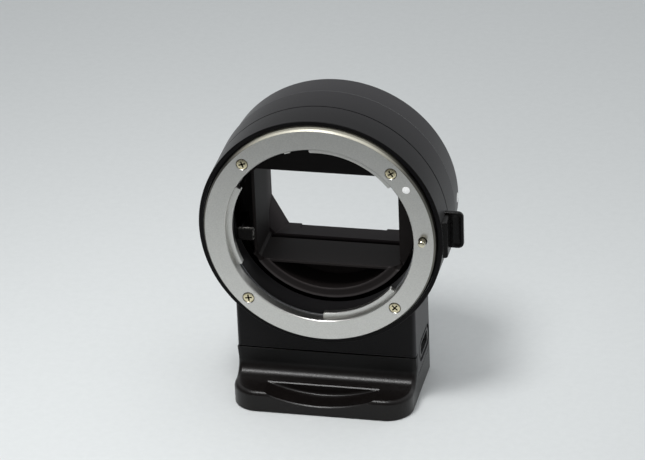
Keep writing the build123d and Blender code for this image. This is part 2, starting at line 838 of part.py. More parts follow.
# Aperture ring with its toothed sector, link and paddle
with BuildPart() as aperture_ring:
    with BuildSketch(front(ring_front)):
        Circle(gear_root_radius)
        Circle(ring_inner, mode=Mode.SUBTRACT)
    extrude(amount=-ring_thick)
    for step in range(-sector_before, sector_after + 1):
        with BuildSketch(front(ring_front)):
            with BuildLine():
                Polyline(*turned(ring_tooth, motor_angle + step * 360 / gear_teeth), close=True)
            make_face()
        extrude(amount=-ring_thick)
    # Link from the ring forward through the side hollow
    with BuildSketch(front(ring_front)):
        with Locations(((link_x - ring_inner - link_overlap) / 2, paddle_z)):
            Rectangle(ring_inner + link_overlap + link_x, 2 * link_half)
    extrude(amount=-ring_thick)
    with BuildSketch(front(paddle_depth)):
        with Locations((link_x - link_thick / 2, paddle_z)):
            Rectangle(link_thick, 2 * link_half)
    extrude(amount=-(ring_front + ring_thick - paddle_depth))
    with BuildSketch(front(paddle_depth)):
        with Locations(((paddle_x + link_x - link_thick) / 2, paddle_z)):
            RectangleRounded(paddle_x - link_x + link_thick, 2 * paddle_half, paddle_corner)
    extrude(amount=-paddle_thick)
aperture_ring.part.label = "aperture_ring"
export_step(aperture_ring.part, "parts/aperture_ring.step")

# Aperture motor
with BuildPart() as aperture_motor:
    with BuildSketch(front(flange_back)):
        with Locations((motor_x, motor_z)):
            Circle(motor_radius)
    extrude(amount=-motor_length)
    with BuildSketch(front(flange_back)):
        with Locations((motor_x, motor_z)):
            Circle(pinion_bore + shaft_clearance)
    extrude(amount=-(shaft_hold + shaft_end_gap), mode=Mode.SUBTRACT)
aperture_motor.part.label = "aperture_motor"
export_step(aperture_motor.part, "parts/aperture_motor.step")

# Motor pinion on its shaft
with BuildPart() as motor_pinion:
    with BuildSketch(front(pinion_front)):
        with Locations((motor_x, motor_z)):
            Circle(pinion_root_radius)
    extrude(amount=-pinion_thick)
    for step in range(pinion_teeth):
        with BuildSketch(front(pinion_front)):
            tooth = turned(pinion_tooth, motor_angle + 180 + (step + 0.5) * 360 / pinion_teeth)
            with BuildLine():
                Polyline(*[(motor_x + x, motor_z + z) for x, z in tooth], close=True)
            make_face()
        extrude(amount=-pinion_thick)
    with BuildSketch(front(pinion_front)):
        with Locations((motor_x, motor_z)):
            Circle(pinion_bore)
    extrude(amount=-(flange_back + shaft_hold - pinion_front))
motor_pinion.part.label = "motor_pinion"
export_step(motor_pinion.part, "parts/motor_pinion.step")

# Front contact block at the top of the throat
with BuildPart() as front_contact_block:
    with BuildSketch(front(front_contact_depth)):
        with BuildLine():
            span = front_contact_span[1] - front_contact_span[0]
            CenterArc((0, 0), front_contact_outer, front_contact_span[0], span)
            CenterArc((0, 0), front_contact_inner, front_contact_span[0], span)
            Line(polar(front_contact_inner, front_contact_span[0]), polar(front_contact_outer, front_contact_span[0]))
            Line(polar(front_contact_inner, front_contact_span[1]), polar(front_contact_outer, front_contact_span[1]))
        make_face()
    extrude(amount=-(tunnel_front - front_contact_depth))
    with BuildSketch(front(front_contact_depth)):
        with Locations(*[polar(front_pin_circle, a) for a in front_pin_angles]):
            Circle(front_pin_radius)
    extrude(amount=-pin_seat, mode=Mode.SUBTRACT)
front_contact_block.part.label = "front_contact_block"
export_step(front_contact_block.part, "parts/front_contact_block.step")

# Front contact pins
with BuildPart() as front_contact_pins:
    with BuildSketch(front(front_contact_depth - front_pin_reach)):
        with Locations(*[polar(front_pin_circle, a) for a in front_pin_angles]):
            Circle(front_pin_radius)
    extrude(amount=-(front_pin_reach + pin_seat))
    chamfer(front_contact_pins.faces().filter_by(Axis.Y).group_by(Axis.Y)[0].edges(), pin_chamfer)
front_contact_pins.part.label = "front_contact_pins"
export_step(front_contact_pins.part, "parts/front_contact_pins.step")

# Rear flange: the camera-side ring with its tube and lugs
with BuildPart() as rear_flange:
    with BuildSketch(section):
        with BuildLine():
            Polyline(
                (rear_tube_inner, rear_seat),
                (rear_flange_radius, rear_seat),
                (rear_flange_radius, mount_depth - flange_bevel),
                (rear_flange_radius - flange_bevel, mount_depth),
                (rear_tube_outer, mount_depth),
                (rear_tube_outer, rear_tube_end - flange_bevel),
                (rear_tube_outer - flange_bevel, rear_tube_end),
                (rear_tube_inner, rear_tube_end),
                close=True,
            )
        make_face()
    revolve(axis=optical_axis)
    for start, end in lug_spans:
        with BuildSketch(front(lug_depth)):
            with BuildLine():
                CenterArc((0, 0), lug_radius, start, end - start)
                CenterArc((0, 0), lug_root, start, end - start)
                Line(polar(lug_root, start), polar(lug_radius, start))
                Line(polar(lug_root, end), polar(lug_radius, end))
            make_face()
        extrude(amount=-lug_thick)
    with Locations(*[rear(mount_depth).location * Location((x, z, 0)) for x, z in rear_screw_points]):
        Cone(
            shank_radius + screw_clearance,
            head_radius + screw_clearance,
            head_height,
            align=top_align,
            mode=Mode.SUBTRACT,
        )
        Cylinder(shank_radius + screw_clearance, rear_flange_thick, align=top_align, mode=Mode.SUBTRACT)
    with BuildSketch(rear(mount_depth)):
        with Locations(mirrored(rear_screw_circle, rear_lock_angle)):
            SlotOverall(rear_lock_length, rear_lock_width, rotation=90)
    extrude(amount=-rear_lock_depth, mode=Mode.SUBTRACT)
rear_flange.part.label = "rear_flange"
export_step(rear_flange.part, "parts/rear_flange.step")

# Rear flange screws
with BuildPart() as rear_flange_screws:
    with Locations(*[rear(mount_depth - head_sink).location * Location((x, z, 0)) for x, z in rear_screw_points]):
        Cone(shank_radius, head_radius, head_height, align=top_align)
        Cylinder(shank_radius, shank_length, align=top_align)
    with Locations(*[rear(mount_depth - head_sink).location * Location((x, z, 0)) for x, z in rear_screw_points]):
        Box(cross_length, cross_width, cross_depth, align=top_align, mode=Mode.SUBTRACT)
        Box(cross_width, cross_length, cross_depth, align=top_align, mode=Mode.SUBTRACT)
rear_flange_screws.part.label = "rear_flange_screws"
export_step(rear_flange_screws.part, "parts/rear_flange_screws.step")

# Rear contact block at the bottom of the rear tube
with BuildPart() as rear_contact_block:
    with BuildSketch(front(rear_seat)):
        with BuildLine():
            span = rear_contact_span[1] - rear_contact_span[0]
            CenterArc((0, 0), rear_contact_outer, rear_contact_span[0], span)
            CenterArc((0, 0), rear_contact_inner, rear_contact_span[0], span)
            Line(polar(rear_contact_inner, rear_contact_span[0]), polar(rear_contact_outer, rear_contact_span[0]))
            Line(polar(rear_contact_inner, rear_contact_span[1]), polar(rear_contact_outer, rear_contact_span[1]))
        make_face()
    extrude(amount=-(rear_contact_end - rear_seat))
    with BuildSketch(front(rear_contact_end - pin_seat)):
        with Locations(*[polar(rear_pin_circle, a) for a in rear_pin_angles]):
            Circle(rear_pin_radius)
    extrude(amount=-pin_seat, mode=Mode.SUBTRACT)
rear_contact_block.part.label = "rear_contact_block"
export_step(rear_contact_block.part, "parts/rear_contact_block.step")

# Rear contact pins
with BuildPart() as rear_contact_pins:
    with BuildSketch(front(rear_contact_end - pin_seat)):
        with Locations(*[polar(rear_pin_circle, a) for a in rear_pin_angles]):
            Circle(rear_pin_radius)
    extrude(amount=-(pin_seat + rear_pin_reach))
    chamfer(rear_contact_pins.faces().filter_by(Axis.Y).group_by(Axis.Y)[-1].edges(), pin_chamfer)
rear_contact_pins.part.label = "rear_contact_pins"
export_step(rear_contact_pins.part, "parts/rear_contact_pins.step")

# Index mark at the rear edge of the barrel
with BuildPart() as rear_index_dot:
    with BuildSketch(
        Plane(origin=(rear_radius - rear_dot_thick, face_y + rear_dot_depth, axis_z), z_dir=(1, 0, 0))
    ):
        Circle(rear_dot_radius)
    extrude(amount=rear_dot_thick + rear_dot_proud)
rear_index_dot.part.label = "rear_index_dot"
export_step(rear_index_dot.part, "parts/rear_index_dot.step")

# Foot shoe: base plate with the forward toe and the upstand under the seam
with BuildPart() as foot_shoe:
    with BuildSketch(Plane.XY):
        with BuildLine():
            Polyline(
                (-block_half_x, face_y + toe_front),
                (block_half_x, face_y + toe_front),
                (block_half_x, face_y + block_rear),
                (-block_half_x, face_y + block_rear),
                close=True,
            )
        make_face()
        fillet(vertices().group_by(Axis.Y)[0], toe_corner)
        fillet(vertices().group_by(Axis.Y)[-1], block_corner)
    extrude(amount=seam_z - seam_gap)
    with BuildSketch(Plane.YZ):
        with BuildLine():
            Polyline(
                (face_y + toe_front - 1, 0),
                (face_y + toe_front - 1, toe_height),
                (face_y + block_front - toe_sweep, toe_height),
            )
            RadiusArc(
                (face_y + block_front - toe_sweep, toe_height),
                (face_y + block_front, toe_height + toe_sweep),
                -toe_sweep,
            )
            Polyline(
                (face_y + block_front, toe_height + toe_sweep),
                (face_y + block_front, seam_z - seam_gap - seam_chamfer),
                (face_y + block_front + seam_chamfer, seam_z - seam_gap),
                (face_y + upstand_back, seam_z - seam_gap),
                (face_y + upstand_back, base_thick),
                (face_y + block_rear + 1, base_thick),
                (face_y + block_rear + 1, 0),
                (face_y + toe_front - 1, 0),
            )
        make_face()
    extrude(amount=block_half_x + 1, both=True, mode=Mode.INTERSECT)
    # Rounded edge that runs down the upstand and round the top of the toe
    edge_loop = [
        e
        for e in foot_shoe.edges()
        if e.center().Z > toe_height - 0.01
        and e.center().Z < seam_z - seam_gap - seam_chamfer - 0.01
        and e.center().Y < face_y + block_front + 0.01
        and (abs(e.center().X) > block_half_x - toe_corner or e.center().Y < face_y + toe_front + 0.01)
    ]
    fillet(edge_loop, block_corner)
    # Hollow for the lens barrel in the top of the toe
    with BuildSketch(front(lens_cut_depth)):
        Circle(lens_clearance)
    extrude(amount=toe_height * 2, mode=Mode.SUBTRACT)
    cut_back = [
        e
        for e in foot_shoe.edges()
        if abs(e.center().Y - face_y - lens_cut_depth) < 0.01
        and e.center().Z < toe_height - 0.01
        and abs(e.center().X) < 0.1
    ]
    fillet(cut_back, cut_fillet)
    # Standoffs under the board, screw holes and the seat of the bush
    with BuildSketch(Plane.XY.offset(base_thick - boss_overlap)):
        with Locations(*post_points):
            Circle(post_radius)
    extrude(amount=board_rise + boss_overlap)
    with Locations(*[(x, y, foot_head_sink) for x, y in post_points]):
        Cylinder(foot_head + screw_clearance, 2 * foot_head_sink, mode=Mode.SUBTRACT)
        Cone(
            foot_head + screw_clearance,
            foot_shank + screw_clearance,
            foot_head_height,
            align=low_align,
            mode=Mode.SUBTRACT,
        )
        Cylinder(foot_shank + screw_clearance, board_bottom + 1, align=low_align, mode=Mode.SUBTRACT)
    with BuildSketch(Plane.XY):
        Circle(bush_radius)
    extrude(amount=base_thick, mode=Mode.SUBTRACT)
foot_shoe.part.label = "foot_shoe"
export_step(foot_shoe.part, "parts/foot_shoe.step")

# Foot screws
with BuildPart() as foot_screws:
    with Locations(*[(x, y, foot_head_sink) for x, y in post_points]):
        Cone(foot_head, foot_shank, foot_head_height, align=low_align)
        Cylinder(foot_shank, foot_screw_top - foot_head_sink, align=low_align)
    with Locations(*[(x, y, foot_head_sink) for x, y in post_points]):
        Box(foot_cross_length, foot_cross_width, foot_cross_depth, align=low_align, mode=Mode.SUBTRACT)
        Box(foot_cross_width, foot_cross_length, foot_cross_depth, align=low_align, mode=Mode.SUBTRACT)
foot_screws.part.label = "foot_screws"
export_step(foot_screws.part, "parts/foot_screws.step")

# Threaded tripod bush
with BuildPart() as tripod_bush:
    with BuildSketch(Plane.XY):
        Circle(bush_radius)
        Circle(thread_radius, mode=Mode.SUBTRACT)
    extrude(amount=base_thick)
tripod_bush.part.label = "tripod_bush"
export_step(tripod_bush.part, "parts/tripod_bush.step")

# Circuit board in the block
with BuildPart() as circuit_board:
    with BuildSketch(Plane.XY.offset(board_bottom)):
        with Locations((0, face_y + (board_front + board_rear) / 2)):
            Rectangle(2 * board_half_x, board_rear - board_front)
        with Locations(*post_points):
            Circle(foot_shank + 4 * screw_clearance, mode=Mode.SUBTRACT)
    extrude(amount=board_thick)
circuit_board.part.label = "circuit_board"
export_step(circuit_board.part, "parts/circuit_board.step")

# Data socket shell
with BuildPart() as socket_shell:
    with BuildSketch(Plane(origin=(socket_out, port_y, port_z), x_dir=(0, 1, 0), z_dir=(1, 0, 0))):
        RectangleRounded(socket_length, socket_height, socket_corner)
    extrude(amount=-socket_long)
    with BuildSketch(Plane(origin=(socket_out, port_y, port_z), x_dir=(0, 1, 0), z_dir=(1, 0, 0))):
        RectangleRounded(socket_length - 2 * socket_wall, socket_height - 2 * socket_wall, socket_corner - socket_wall)
    extrude(amount=-(socket_long - socket_wall), mode=Mode.SUBTRACT)
    with BuildSketch(Plane.XY.offset(board_top)):
        with Locations((socket_out - socket_long / 2, port_y)):
            Rectangle(socket_long * socket_foot_share, socket_length * socket_foot_share)
    extrude(amount=port_z - socket_height / 2 + socket_wall / 2 - board_top)
socket_shell.part.label = "socket_shell"
export_step(socket_shell.part, "parts/socket_shell.step")

# Data socket tongue
with BuildPart() as socket_tongue:
    with BuildSketch(
        Plane(origin=(socket_out - tongue_inset, port_y, port_z + tongue_rise), x_dir=(0, 1, 0), z_dir=(1, 0, 0))
    ):
        Rectangle(tongue_width, tongue_thick)
    extrude(amount=-(socket_long - socket_wall - tongue_inset))
socket_tongue.part.label = "socket_tongue"
export_step(socket_tongue.part, "parts/socket_tongue.step")
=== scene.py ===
# %% [markdown]
# # Lens mount adapter
# A short black barrel carries a pale bayonet ring in front and another behind, and stands on a
# block with a forward foot. The measured model is loaded first and stays where it is: every new
# piece is worked out in the same frame, in metres, so nothing has to be fitted afterwards.

# %% Load the measured model
import json
import math

import bmesh
import bpy
import numpy as np
from mathutils import Matrix, Vector


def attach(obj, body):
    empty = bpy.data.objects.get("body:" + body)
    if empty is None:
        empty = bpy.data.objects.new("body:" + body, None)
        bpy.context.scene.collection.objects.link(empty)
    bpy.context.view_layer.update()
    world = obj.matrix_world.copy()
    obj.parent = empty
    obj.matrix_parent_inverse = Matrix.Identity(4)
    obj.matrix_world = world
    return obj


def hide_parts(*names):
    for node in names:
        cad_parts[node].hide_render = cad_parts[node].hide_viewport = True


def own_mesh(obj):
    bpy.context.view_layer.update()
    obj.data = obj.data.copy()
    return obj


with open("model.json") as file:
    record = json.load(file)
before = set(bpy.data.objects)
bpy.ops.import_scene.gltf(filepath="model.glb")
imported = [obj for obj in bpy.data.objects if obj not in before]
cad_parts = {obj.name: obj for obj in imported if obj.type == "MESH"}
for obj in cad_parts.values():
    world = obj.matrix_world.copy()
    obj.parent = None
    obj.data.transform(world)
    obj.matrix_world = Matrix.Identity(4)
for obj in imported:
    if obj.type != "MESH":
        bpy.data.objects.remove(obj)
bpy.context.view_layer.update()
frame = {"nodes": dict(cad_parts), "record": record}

MM = 0.001
mounts = {mount["name"]: mount["pos_m"] for mount in frame["record"]["mounts"]}
FACE_Y = mounts["front_bayonet"][1]
AXIS_Z = mounts["front_bayonet"][2]
AXIS_MM = AXIS_Z / MM
SOCKET_D = -FACE_Y / MM
print("nodes", len(frame["nodes"]), "front face at", FACE_Y, "optical axis at", AXIS_Z)

# %% [markdown]
# ## Tools for shapes
# Turned and extruded parts are all the same surface: a ring of points that is repeated along a
# path. One function skins such a stack of rings, whole arrays at a time. Three small maps then
# say where a drawing lies: in the face plane, in plan, or on the right side.

# %% Rings and skins
def skin(name, stacks, loop=False):
    """One mesh from stacks of rings, each an array (rings, points, 3). Quads join point j of ring i
    to its neighbours in the same ring and the next; the end rings are closed by a cap, or joined to
    each other when loop is true. Faces are then turned outwards."""
    points, faces, base = [], [], 0
    for rings in stacks:
        count, around = rings.shape[:2]
        grid = base + np.arange(count * around).reshape(count, around)
        rows = np.vstack([grid, grid[:1]]) if loop else grid
        near, far = rows[:-1], rows[1:]
        quads = np.stack([near, np.roll(near, -1, 1), np.roll(far, -1, 1), far], -1)
        faces += quads.reshape(-1, 4).tolist()
        if not loop:
            faces += [grid[0, ::-1].tolist(), grid[-1].tolist()]
        points.append(rings.reshape(-1, 3))
        base += count * around
    mesh = bpy.data.meshes.new(name)
    mesh.from_pydata(np.vstack(points).tolist(), [], faces)
    shell = bmesh.new()
    shell.from_mesh(mesh)
    bmesh.ops.recalc_face_normals(shell, faces=shell.faces)
    shell.to_mesh(mesh)
    shell.free()
    piece = bpy.data.objects.new(name, mesh)
    bpy.context.scene.collection.objects.link(piece)
    return piece


def in_face(x, z, depth):
    """A drawing in the face plane, in mm about the optical axis, depth measured behind the face."""
    x, z, depth = np.broadcast_arrays(x, z, depth)
    return np.stack([x * MM, FACE_Y + depth * MM, AXIS_Z + z * MM], -1)


def in_plan(x, depth, z):
    """A drawing seen from above, in mm: x, depth behind the face, height over the base."""
    x, depth, z = np.broadcast_arrays(x, depth, z)
    return np.stack([x * MM, FACE_Y + depth * MM, z * MM], -1)


def on_side(depth, z, x):
    """A drawing on the right side, in mm: depth behind the face, height over the base, then x."""
    return in_plan(x, depth, z)


print("centre of the front face, in metres", in_face(0, 0, 0))

# %% [markdown]
# ## Outlines
# Moulded and milled parts have no sharp corners, so most outlines are polygons whose corners are
# turned into arcs. Blender could bevel them later, but arcs worked out here keep their exact radius.

# %% Outlines with round corners
def rounded(corners, radius, steps=6, closed=True):
    """An outline whose corners are arcs: each arc starts and ends where a circle of the radius
    touches the two sides, and its points are blended from start to end by angle."""
    points = np.asarray(corners, float)
    radius = np.broadcast_to(np.asarray(radius, float), len(points))
    back = np.roll(points, 1, 0) - points
    ahead = np.roll(points, -1, 0) - points
    back /= np.linalg.norm(back, axis=1, keepdims=True)
    ahead /= np.linalg.norm(ahead, axis=1, keepdims=True)
    half = np.arccos(np.clip((back * ahead).sum(1), -1, 1)) / 2
    bisector = back + ahead
    bisector /= np.linalg.norm(bisector, axis=1, keepdims=True) + 1e-12
    centre = points + bisector * (radius / np.sin(half))[:, None]
    start = points + back * (radius / np.tan(half))[:, None] - centre
    end = points + ahead * (radius / np.tan(half))[:, None] - centre
    sweep = (math.pi - 2 * half)[:, None, None]
    share = np.linspace(0, 1, steps + 1)[None, :, None]
    blend = np.sin((1 - share) * sweep) * start[:, None] + np.sin(share * sweep) * end[:, None]
    outline = centre[:, None] + blend / np.sin(sweep)
    if closed:
        return outline.reshape(-1, 2)
    return np.vstack([points[:1], outline[1:-1].reshape(-1, 2), points[-1:]])


def oblong(half_u, half_v, radius, centre=(0, 0), steps=8):
    """A rectangle with round corners about a centre."""
    signs = np.array([(1, 1), (-1, 1), (-1, -1), (1, -1)])
    return rounded(np.array(centre) + signs * (half_u, half_v), radius, steps)


def sector(inner, outer, first, last, radius=0.2):
    """A piece of a ring between two angles, in degrees: an outer arc, an inner arc back, and
    corners softened by dropping the arcs' ends a little."""
    fewest, per_degree = 8, 1.2
    count = max(fewest, int((last - first) * per_degree))
    trim = np.degrees(radius / np.array([outer, inner]))
    out = np.radians(np.linspace(first + trim[0], last - trim[0], count))
    back = np.radians(np.linspace(last - trim[1], first + trim[1], count))
    ends = np.radians([last, last, first, first])
    radii = np.array([outer - radius, inner + radius, inner + radius, outer - radius])
    side = np.stack([radii * np.cos(ends), radii * np.sin(ends)], -1)
    arc_out = np.stack([outer * np.cos(out), outer * np.sin(out)], -1)
    arc_back = np.stack([inner * np.cos(back), inner * np.sin(back)], -1)
    return np.vstack([arc_out, side[:2], arc_back, side[2:]])


print("points of a small round-cornered rectangle", len(oblong(2, 1, 0.2)))

# %% [markdown]
# ## Columns and turned solids
# An outline pushed along a line gives a moulded or milled part, and a profile carried round an axis
# gives a part from the lathe. Spin and Extrude could do both; rings worked out as arrays let one
# edge be rounded, flared or stepped simply by listing more stations.

# %% Columns and turned rings
def column(outline, stations, place):
    """Rings for an extruded piece. A station is (inset, height): the outline moves inwards along its
    own normals by the inset, so a few stations make a rounded or flared edge."""
    ahead, behind = np.roll(outline, -1, 0), np.roll(outline, 1, 0)
    tangent = ahead - behind
    area = np.sum(outline[:, 0] * ahead[:, 1] - outline[:, 1] * ahead[:, 0])
    normal = np.stack([tangent[:, 1], -tangent[:, 0]], -1) * np.sign(area)
    normal /= np.linalg.norm(normal, axis=1, keepdims=True)
    inset, height = np.asarray(stations, float).T
    drawn = outline[None] - normal[None] * inset[:, None, None]
    return place(drawn[..., 0], drawn[..., 1], height[:, None])


def straight(low, high):
    """Stations of a plain cut or bar: no inset, from low to high."""
    return [(0, low), (0, high)]


def round_edges(low, high, edge, steps=4):
    """Stations from low to high whose two ends are quarter rounds of the edge radius."""
    turn = np.linspace(0, math.pi / 2, steps + 1)
    first = np.stack([edge * (1 - np.sin(turn)), low + edge * (1 - np.cos(turn))], -1)
    last = np.stack([edge * (1 - np.cos(turn)), high - edge * (1 - np.sin(turn))], -1)
    return np.vstack([first, last])


def circle(segments):
    """Angles once round a circle, without the last one that would repeat the first."""
    return np.linspace(0, 2 * math.pi, segments, endpoint=False)


def plug(profile, centre=(0, 0), segments=288):
    """Rings of a solid turned about an axis through the centre: a circle for each (radius, depth)."""
    radius, depth = np.asarray(profile, float).T
    angle = circle(segments)
    x = centre[0] + radius[:, None] * np.cos(angle)
    z = centre[1] + radius[:, None] * np.sin(angle)
    return in_face(x, z, depth[:, None])


def drill(radius, low, high, centre, segments=48):
    """Rings of a plain round hole or bar of one radius between two depths."""
    return plug([(radius, low), (radius, high)], centre, segments)


def upright(profile, x, depth, segments=48):
    """Rings of a solid turned about a vertical axis: a circle for each (radius, height)."""
    radius, height = np.asarray(profile, float).T
    angle = circle(segments)
    x = x + radius[:, None] * np.cos(angle)
    return in_plan(x, depth + radius[:, None] * np.sin(angle), height[:, None])


def turned_ring(profile, segments=288):
    """A closed profile of (radius, depth) carried once round the optical axis."""
    radius, depth = np.asarray(profile, float).T
    angle = circle(segments)[:, None]
    return in_face(radius * np.cos(angle), radius * np.sin(angle), depth)


print("stations of a rounded edge", len(round_edges(0, 1, 0.1)))

# %% [markdown]
# ## Joining and cutting
# The real housing is one casting with milled seats, so its mesh is joined and cut the same way.
# Boolean modifiers do that; the result is kept as the piece's own mesh and the tools are removed.

# %% Carving and dressing
CRISP_ANGLE, EVEN_WEIGHT = math.radians(32), 80


def settle(piece):
    """Keeps what the modifiers make of a piece as its own mesh."""
    graph = bpy.context.evaluated_depsgraph_get()
    made = bpy.data.meshes.new_from_object(piece.evaluated_get(graph))
    piece.modifiers.clear()
    piece.data = made
    made.name = piece.name


def carve(piece, stacks, how="DIFFERENCE"):
    """Joins or cuts a piece with closed stacks of rings, one at a time."""
    for stack in stacks:
        tool = skin("tool", [stack])
        step = piece.modifiers.new("carve", "BOOLEAN")
        step.object = tool
        step.operation = how
        step.solver = "MANIFOLD"
        settle(piece)
        bpy.data.objects.remove(tool)


def dress(piece, body, slot, node):
    """Gives a piece its shading, its slot's finish and the body that it rides on, and hides the node
    that it stands for."""
    bpy.ops.object.select_all(action="DESELECT")
    piece.select_set(True)
    bpy.context.view_layer.objects.active = piece
    bpy.ops.object.shade_smooth_by_angle(angle=CRISP_ANGLE)
    even = piece.modifiers.new("even_shading", "WEIGHTED_NORMAL")
    even.keep_sharp = True
    even.weight = EVEN_WEIGHT
    piece.data.materials.clear()
    piece.data.materials.append(finishes[slot])
    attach(piece, body)
    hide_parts(node)
    print(piece.name, "faces", len(piece.data.polygons))


print("edges sharper than", round(math.degrees(CRISP_ANGLE)), "degrees stay crisp")

# %% [markdown]
# ## Finishes
# Every finish is built from nodes, because one flat colour never looks like a made surface. A colour
# is written as an sRGB hex value and turned to linear light by one function; grain sizes are written
# in millimetres. Patterns read Object coordinates: each piece sits at the origin, so these are true
# metres and a pattern keeps its real size.

# %% Colours, nodes and grain
def hex_linear(code):
    """An sRGB hex colour as linear RGBA, by the sRGB curve."""
    value = np.array([int(code[i:i + 2], 16) for i in (1, 3, 5)]) / 255
    linear = np.where(value <= 0.04045, value / 12.92, ((value + 0.055) / 1.055) ** 2.4)
    return (*linear.tolist(), 1.0)


def add(tree, kind, settings, inputs):
    """Adds one node: settings are its properties, inputs are values or sockets to link."""
    made = tree.nodes.new("ShaderNode" + kind)
    for name, value in settings.items():
        setattr(made, name, value)
    for name, value in inputs.items():
        if isinstance(value, bpy.types.NodeSocket):
            tree.links.new(value, made.inputs[name])
        else:
            made.inputs[name].default_value = value
    return made


def new_finish(name, **values):
    """A principled material with the values that are the same all over."""
    finish = bpy.data.materials.new(name)
    finish.use_nodes = True
    shader = finish.node_tree.nodes["Principled BSDF"]
    for key, value in values.items():
        shader.inputs[key.replace("_", " ")].default_value = value
    coords = add(finish.node_tree, "TexCoord", {}, {}).outputs["Object"]
    return finish, finish.node_tree, shader, coords


GRAIN_LOW, GRAIN_HIGH = 0.3, 0.7


def per_grain(size_mm):
    """Noise scale whose grains are about the size given, in millimetres."""
    return 1 / (size_mm * MM)


def grainy(tree, shader, coords, size_mm, dark, light, rough, depth_mm):
    """A fine grain: noise moves the colour between two hex values and the roughness between two
    numbers, and raises the surface by a depth in millimetres."""
    noise = add(tree, "TexNoise", {}, {"Vector": coords, "Scale": per_grain(size_mm),
                                       "Detail": 3.0, "Roughness": 0.6}).outputs["Fac"]
    ramp = add(tree, "ValToRGB", {}, {"Fac": noise})
    for stop, spot, code in zip(ramp.color_ramp.elements, (GRAIN_LOW, GRAIN_HIGH), (dark, light)):
        stop.position, stop.color = spot, hex_linear(code)
    tree.links.new(ramp.outputs["Color"], shader.inputs["Base Color"])
    spread = add(tree, "MapRange", {}, {"Value": noise, "From Min": GRAIN_LOW, "From Max": GRAIN_HIGH,
                                        "To Min": rough[0], "To Max": rough[1]})
    tree.links.new(spread.outputs["Result"], shader.inputs["Roughness"])
    bump = add(tree, "Bump", {}, {"Height": noise, "Strength": 0.6, "Distance": depth_mm * MM})
    tree.links.new(bump.outputs["Normal"], shader.inputs["Normal"])
    return bump.outputs["Normal"]


print("a mid grey in linear light", round(hex_linear("#808080")[0], 3))

# %% [markdown]
# ## Painted light and shade
# Several finishes are painted paler where light falls and darker where shade falls, in hollows and
# gaps. Painting that by hand would need an image, so it is measured: a mask rises between two places
# given in millimetres, and a tone is laid over the finish wherever its masks are full.

# %% Measures, masks and overlays
def measures(tree, coords):
    """Sockets that measure a point in mm: across, depth behind the face, height over the optical
    axis, the distance aside of the middle, and the radius about the axis."""
    centred = add(tree, "Mapping", {}, {"Vector": coords, "Location": (0.0, SOCKET_D, -AXIS_MM),
                                        "Scale": (1 / MM,) * 3}).outputs["Vector"]
    across, depth, height = add(tree, "SeparateXYZ", {}, {"Vector": centred}).outputs
    flat = add(tree, "CombineXYZ", {}, {"X": across, "Z": height}).outputs["Vector"]
    aside = add(tree, "Math", {"operation": "ABSOLUTE"}, {0: across}).outputs["Value"]
    radius = add(tree, "VectorMath", {"operation": "LENGTH"}, {0: flat}).outputs["Value"]
    return {"across": across, "depth": depth, "height": height, "aside": aside, "radius": radius}


def masks(tree, measure, *spans):
    """Soft masks: a span is a measure's name, the places in mm where its mask starts and where it
    is full, and its strength there."""
    return [add(tree, "MapRange", {}, {"Value": measure[name], "From Min": start, "From Max": full,
                                       "To Max": strength}).outputs["Result"]
            for name, start, full, strength in spans]


def overlay(tree, shader, *layers):
    """Lays tones over a finish, one after another: a layer is a hex tone and the masks whose
    product says how much of it shows."""
    colour = shader.inputs["Base Color"].links[0].from_socket
    for tone, share, *others in layers:
        for other in others:
            share = add(tree, "Math", {"operation": "MULTIPLY"}, {0: share, 1: other}).outputs["Value"]
        mixed = add(tree, "Mix", {"data_type": "RGBA"}, {"Factor": share, 6: colour, 7: hex_linear(tone)})
        colour = mixed.outputs[2]
    tree.links.new(colour, shader.inputs["Base Color"])


finishes = {}
print("origin of the measures, in metres", in_face(0, 0, 0))

# %% [markdown]
# ## Black anodised aluminium
# The housing is bead-blasted before it is anodised, so light scatters and the black greys at a low
# angle. A little sheen gives that; a rougher gloss alone would grey the whole barrel. The colour is also
# painted paler towards the rear and on the block's sides, a painted sheen; a pale line along the step
# behind the lever on the upper half is a painted highlight, and the rim round the ring is painted shade.

# %% Housing finish: charcoal, with a painted sheen on the sides and rear, a painted highlight on the step and painted shade round the ring
BLOCK_TOP, BLOCK_CLEAN = 24 - AXIS_MM, 30 - AXIS_MM
STEP_LINE, STEP_WIDE = 18.95, 0.16
finish, tree, shader, coords = new_finish("blasted_black_anodised", Specular_IOR_Level=0.13,
                                          Sheen_Weight=0.21, Sheen_Roughness=0.31)
grainy(tree, shader, coords, 0.22, "#0e0d0e", "#191819", (0.4, 0.52), 0.012)
measure = measures(tree, coords)
rear, side, low, over, rim = masks(
    tree, measure, ("depth", 4, 26, 1), ("aside", 21.8, 22.6, 1), ("height", BLOCK_CLEAN, BLOCK_TOP, 1),
    ("height", -12, 12, 1), ("depth", 1.9, 1.6, 1))
# paler towards the rear and on the block's sides: a painted sheen
flank = add(tree, "Math", {"operation": "MULTIPLY"}, {0: side, 1: low}).outputs["Value"]
painted_sheen = add(tree, "Math", {"operation": "MAXIMUM"}, {0: rear, 1: flank}).outputs["Value"]
# a pale line along the step, on the upper half only: a painted highlight
step = add(tree, "Math", {"operation": "COMPARE"}, {0: measure["depth"], 1: STEP_LINE, 2: STEP_WIDE})
# the rim's front face round the ring is painted near black: painted shade
overlay(tree, shader, ("#302f31", painted_sheen), ("#727274", step.outputs["Value"], over), ("#080708", rim))
finishes["anodised_black"] = finish
print("nodes in", finish.name, len(tree.nodes))
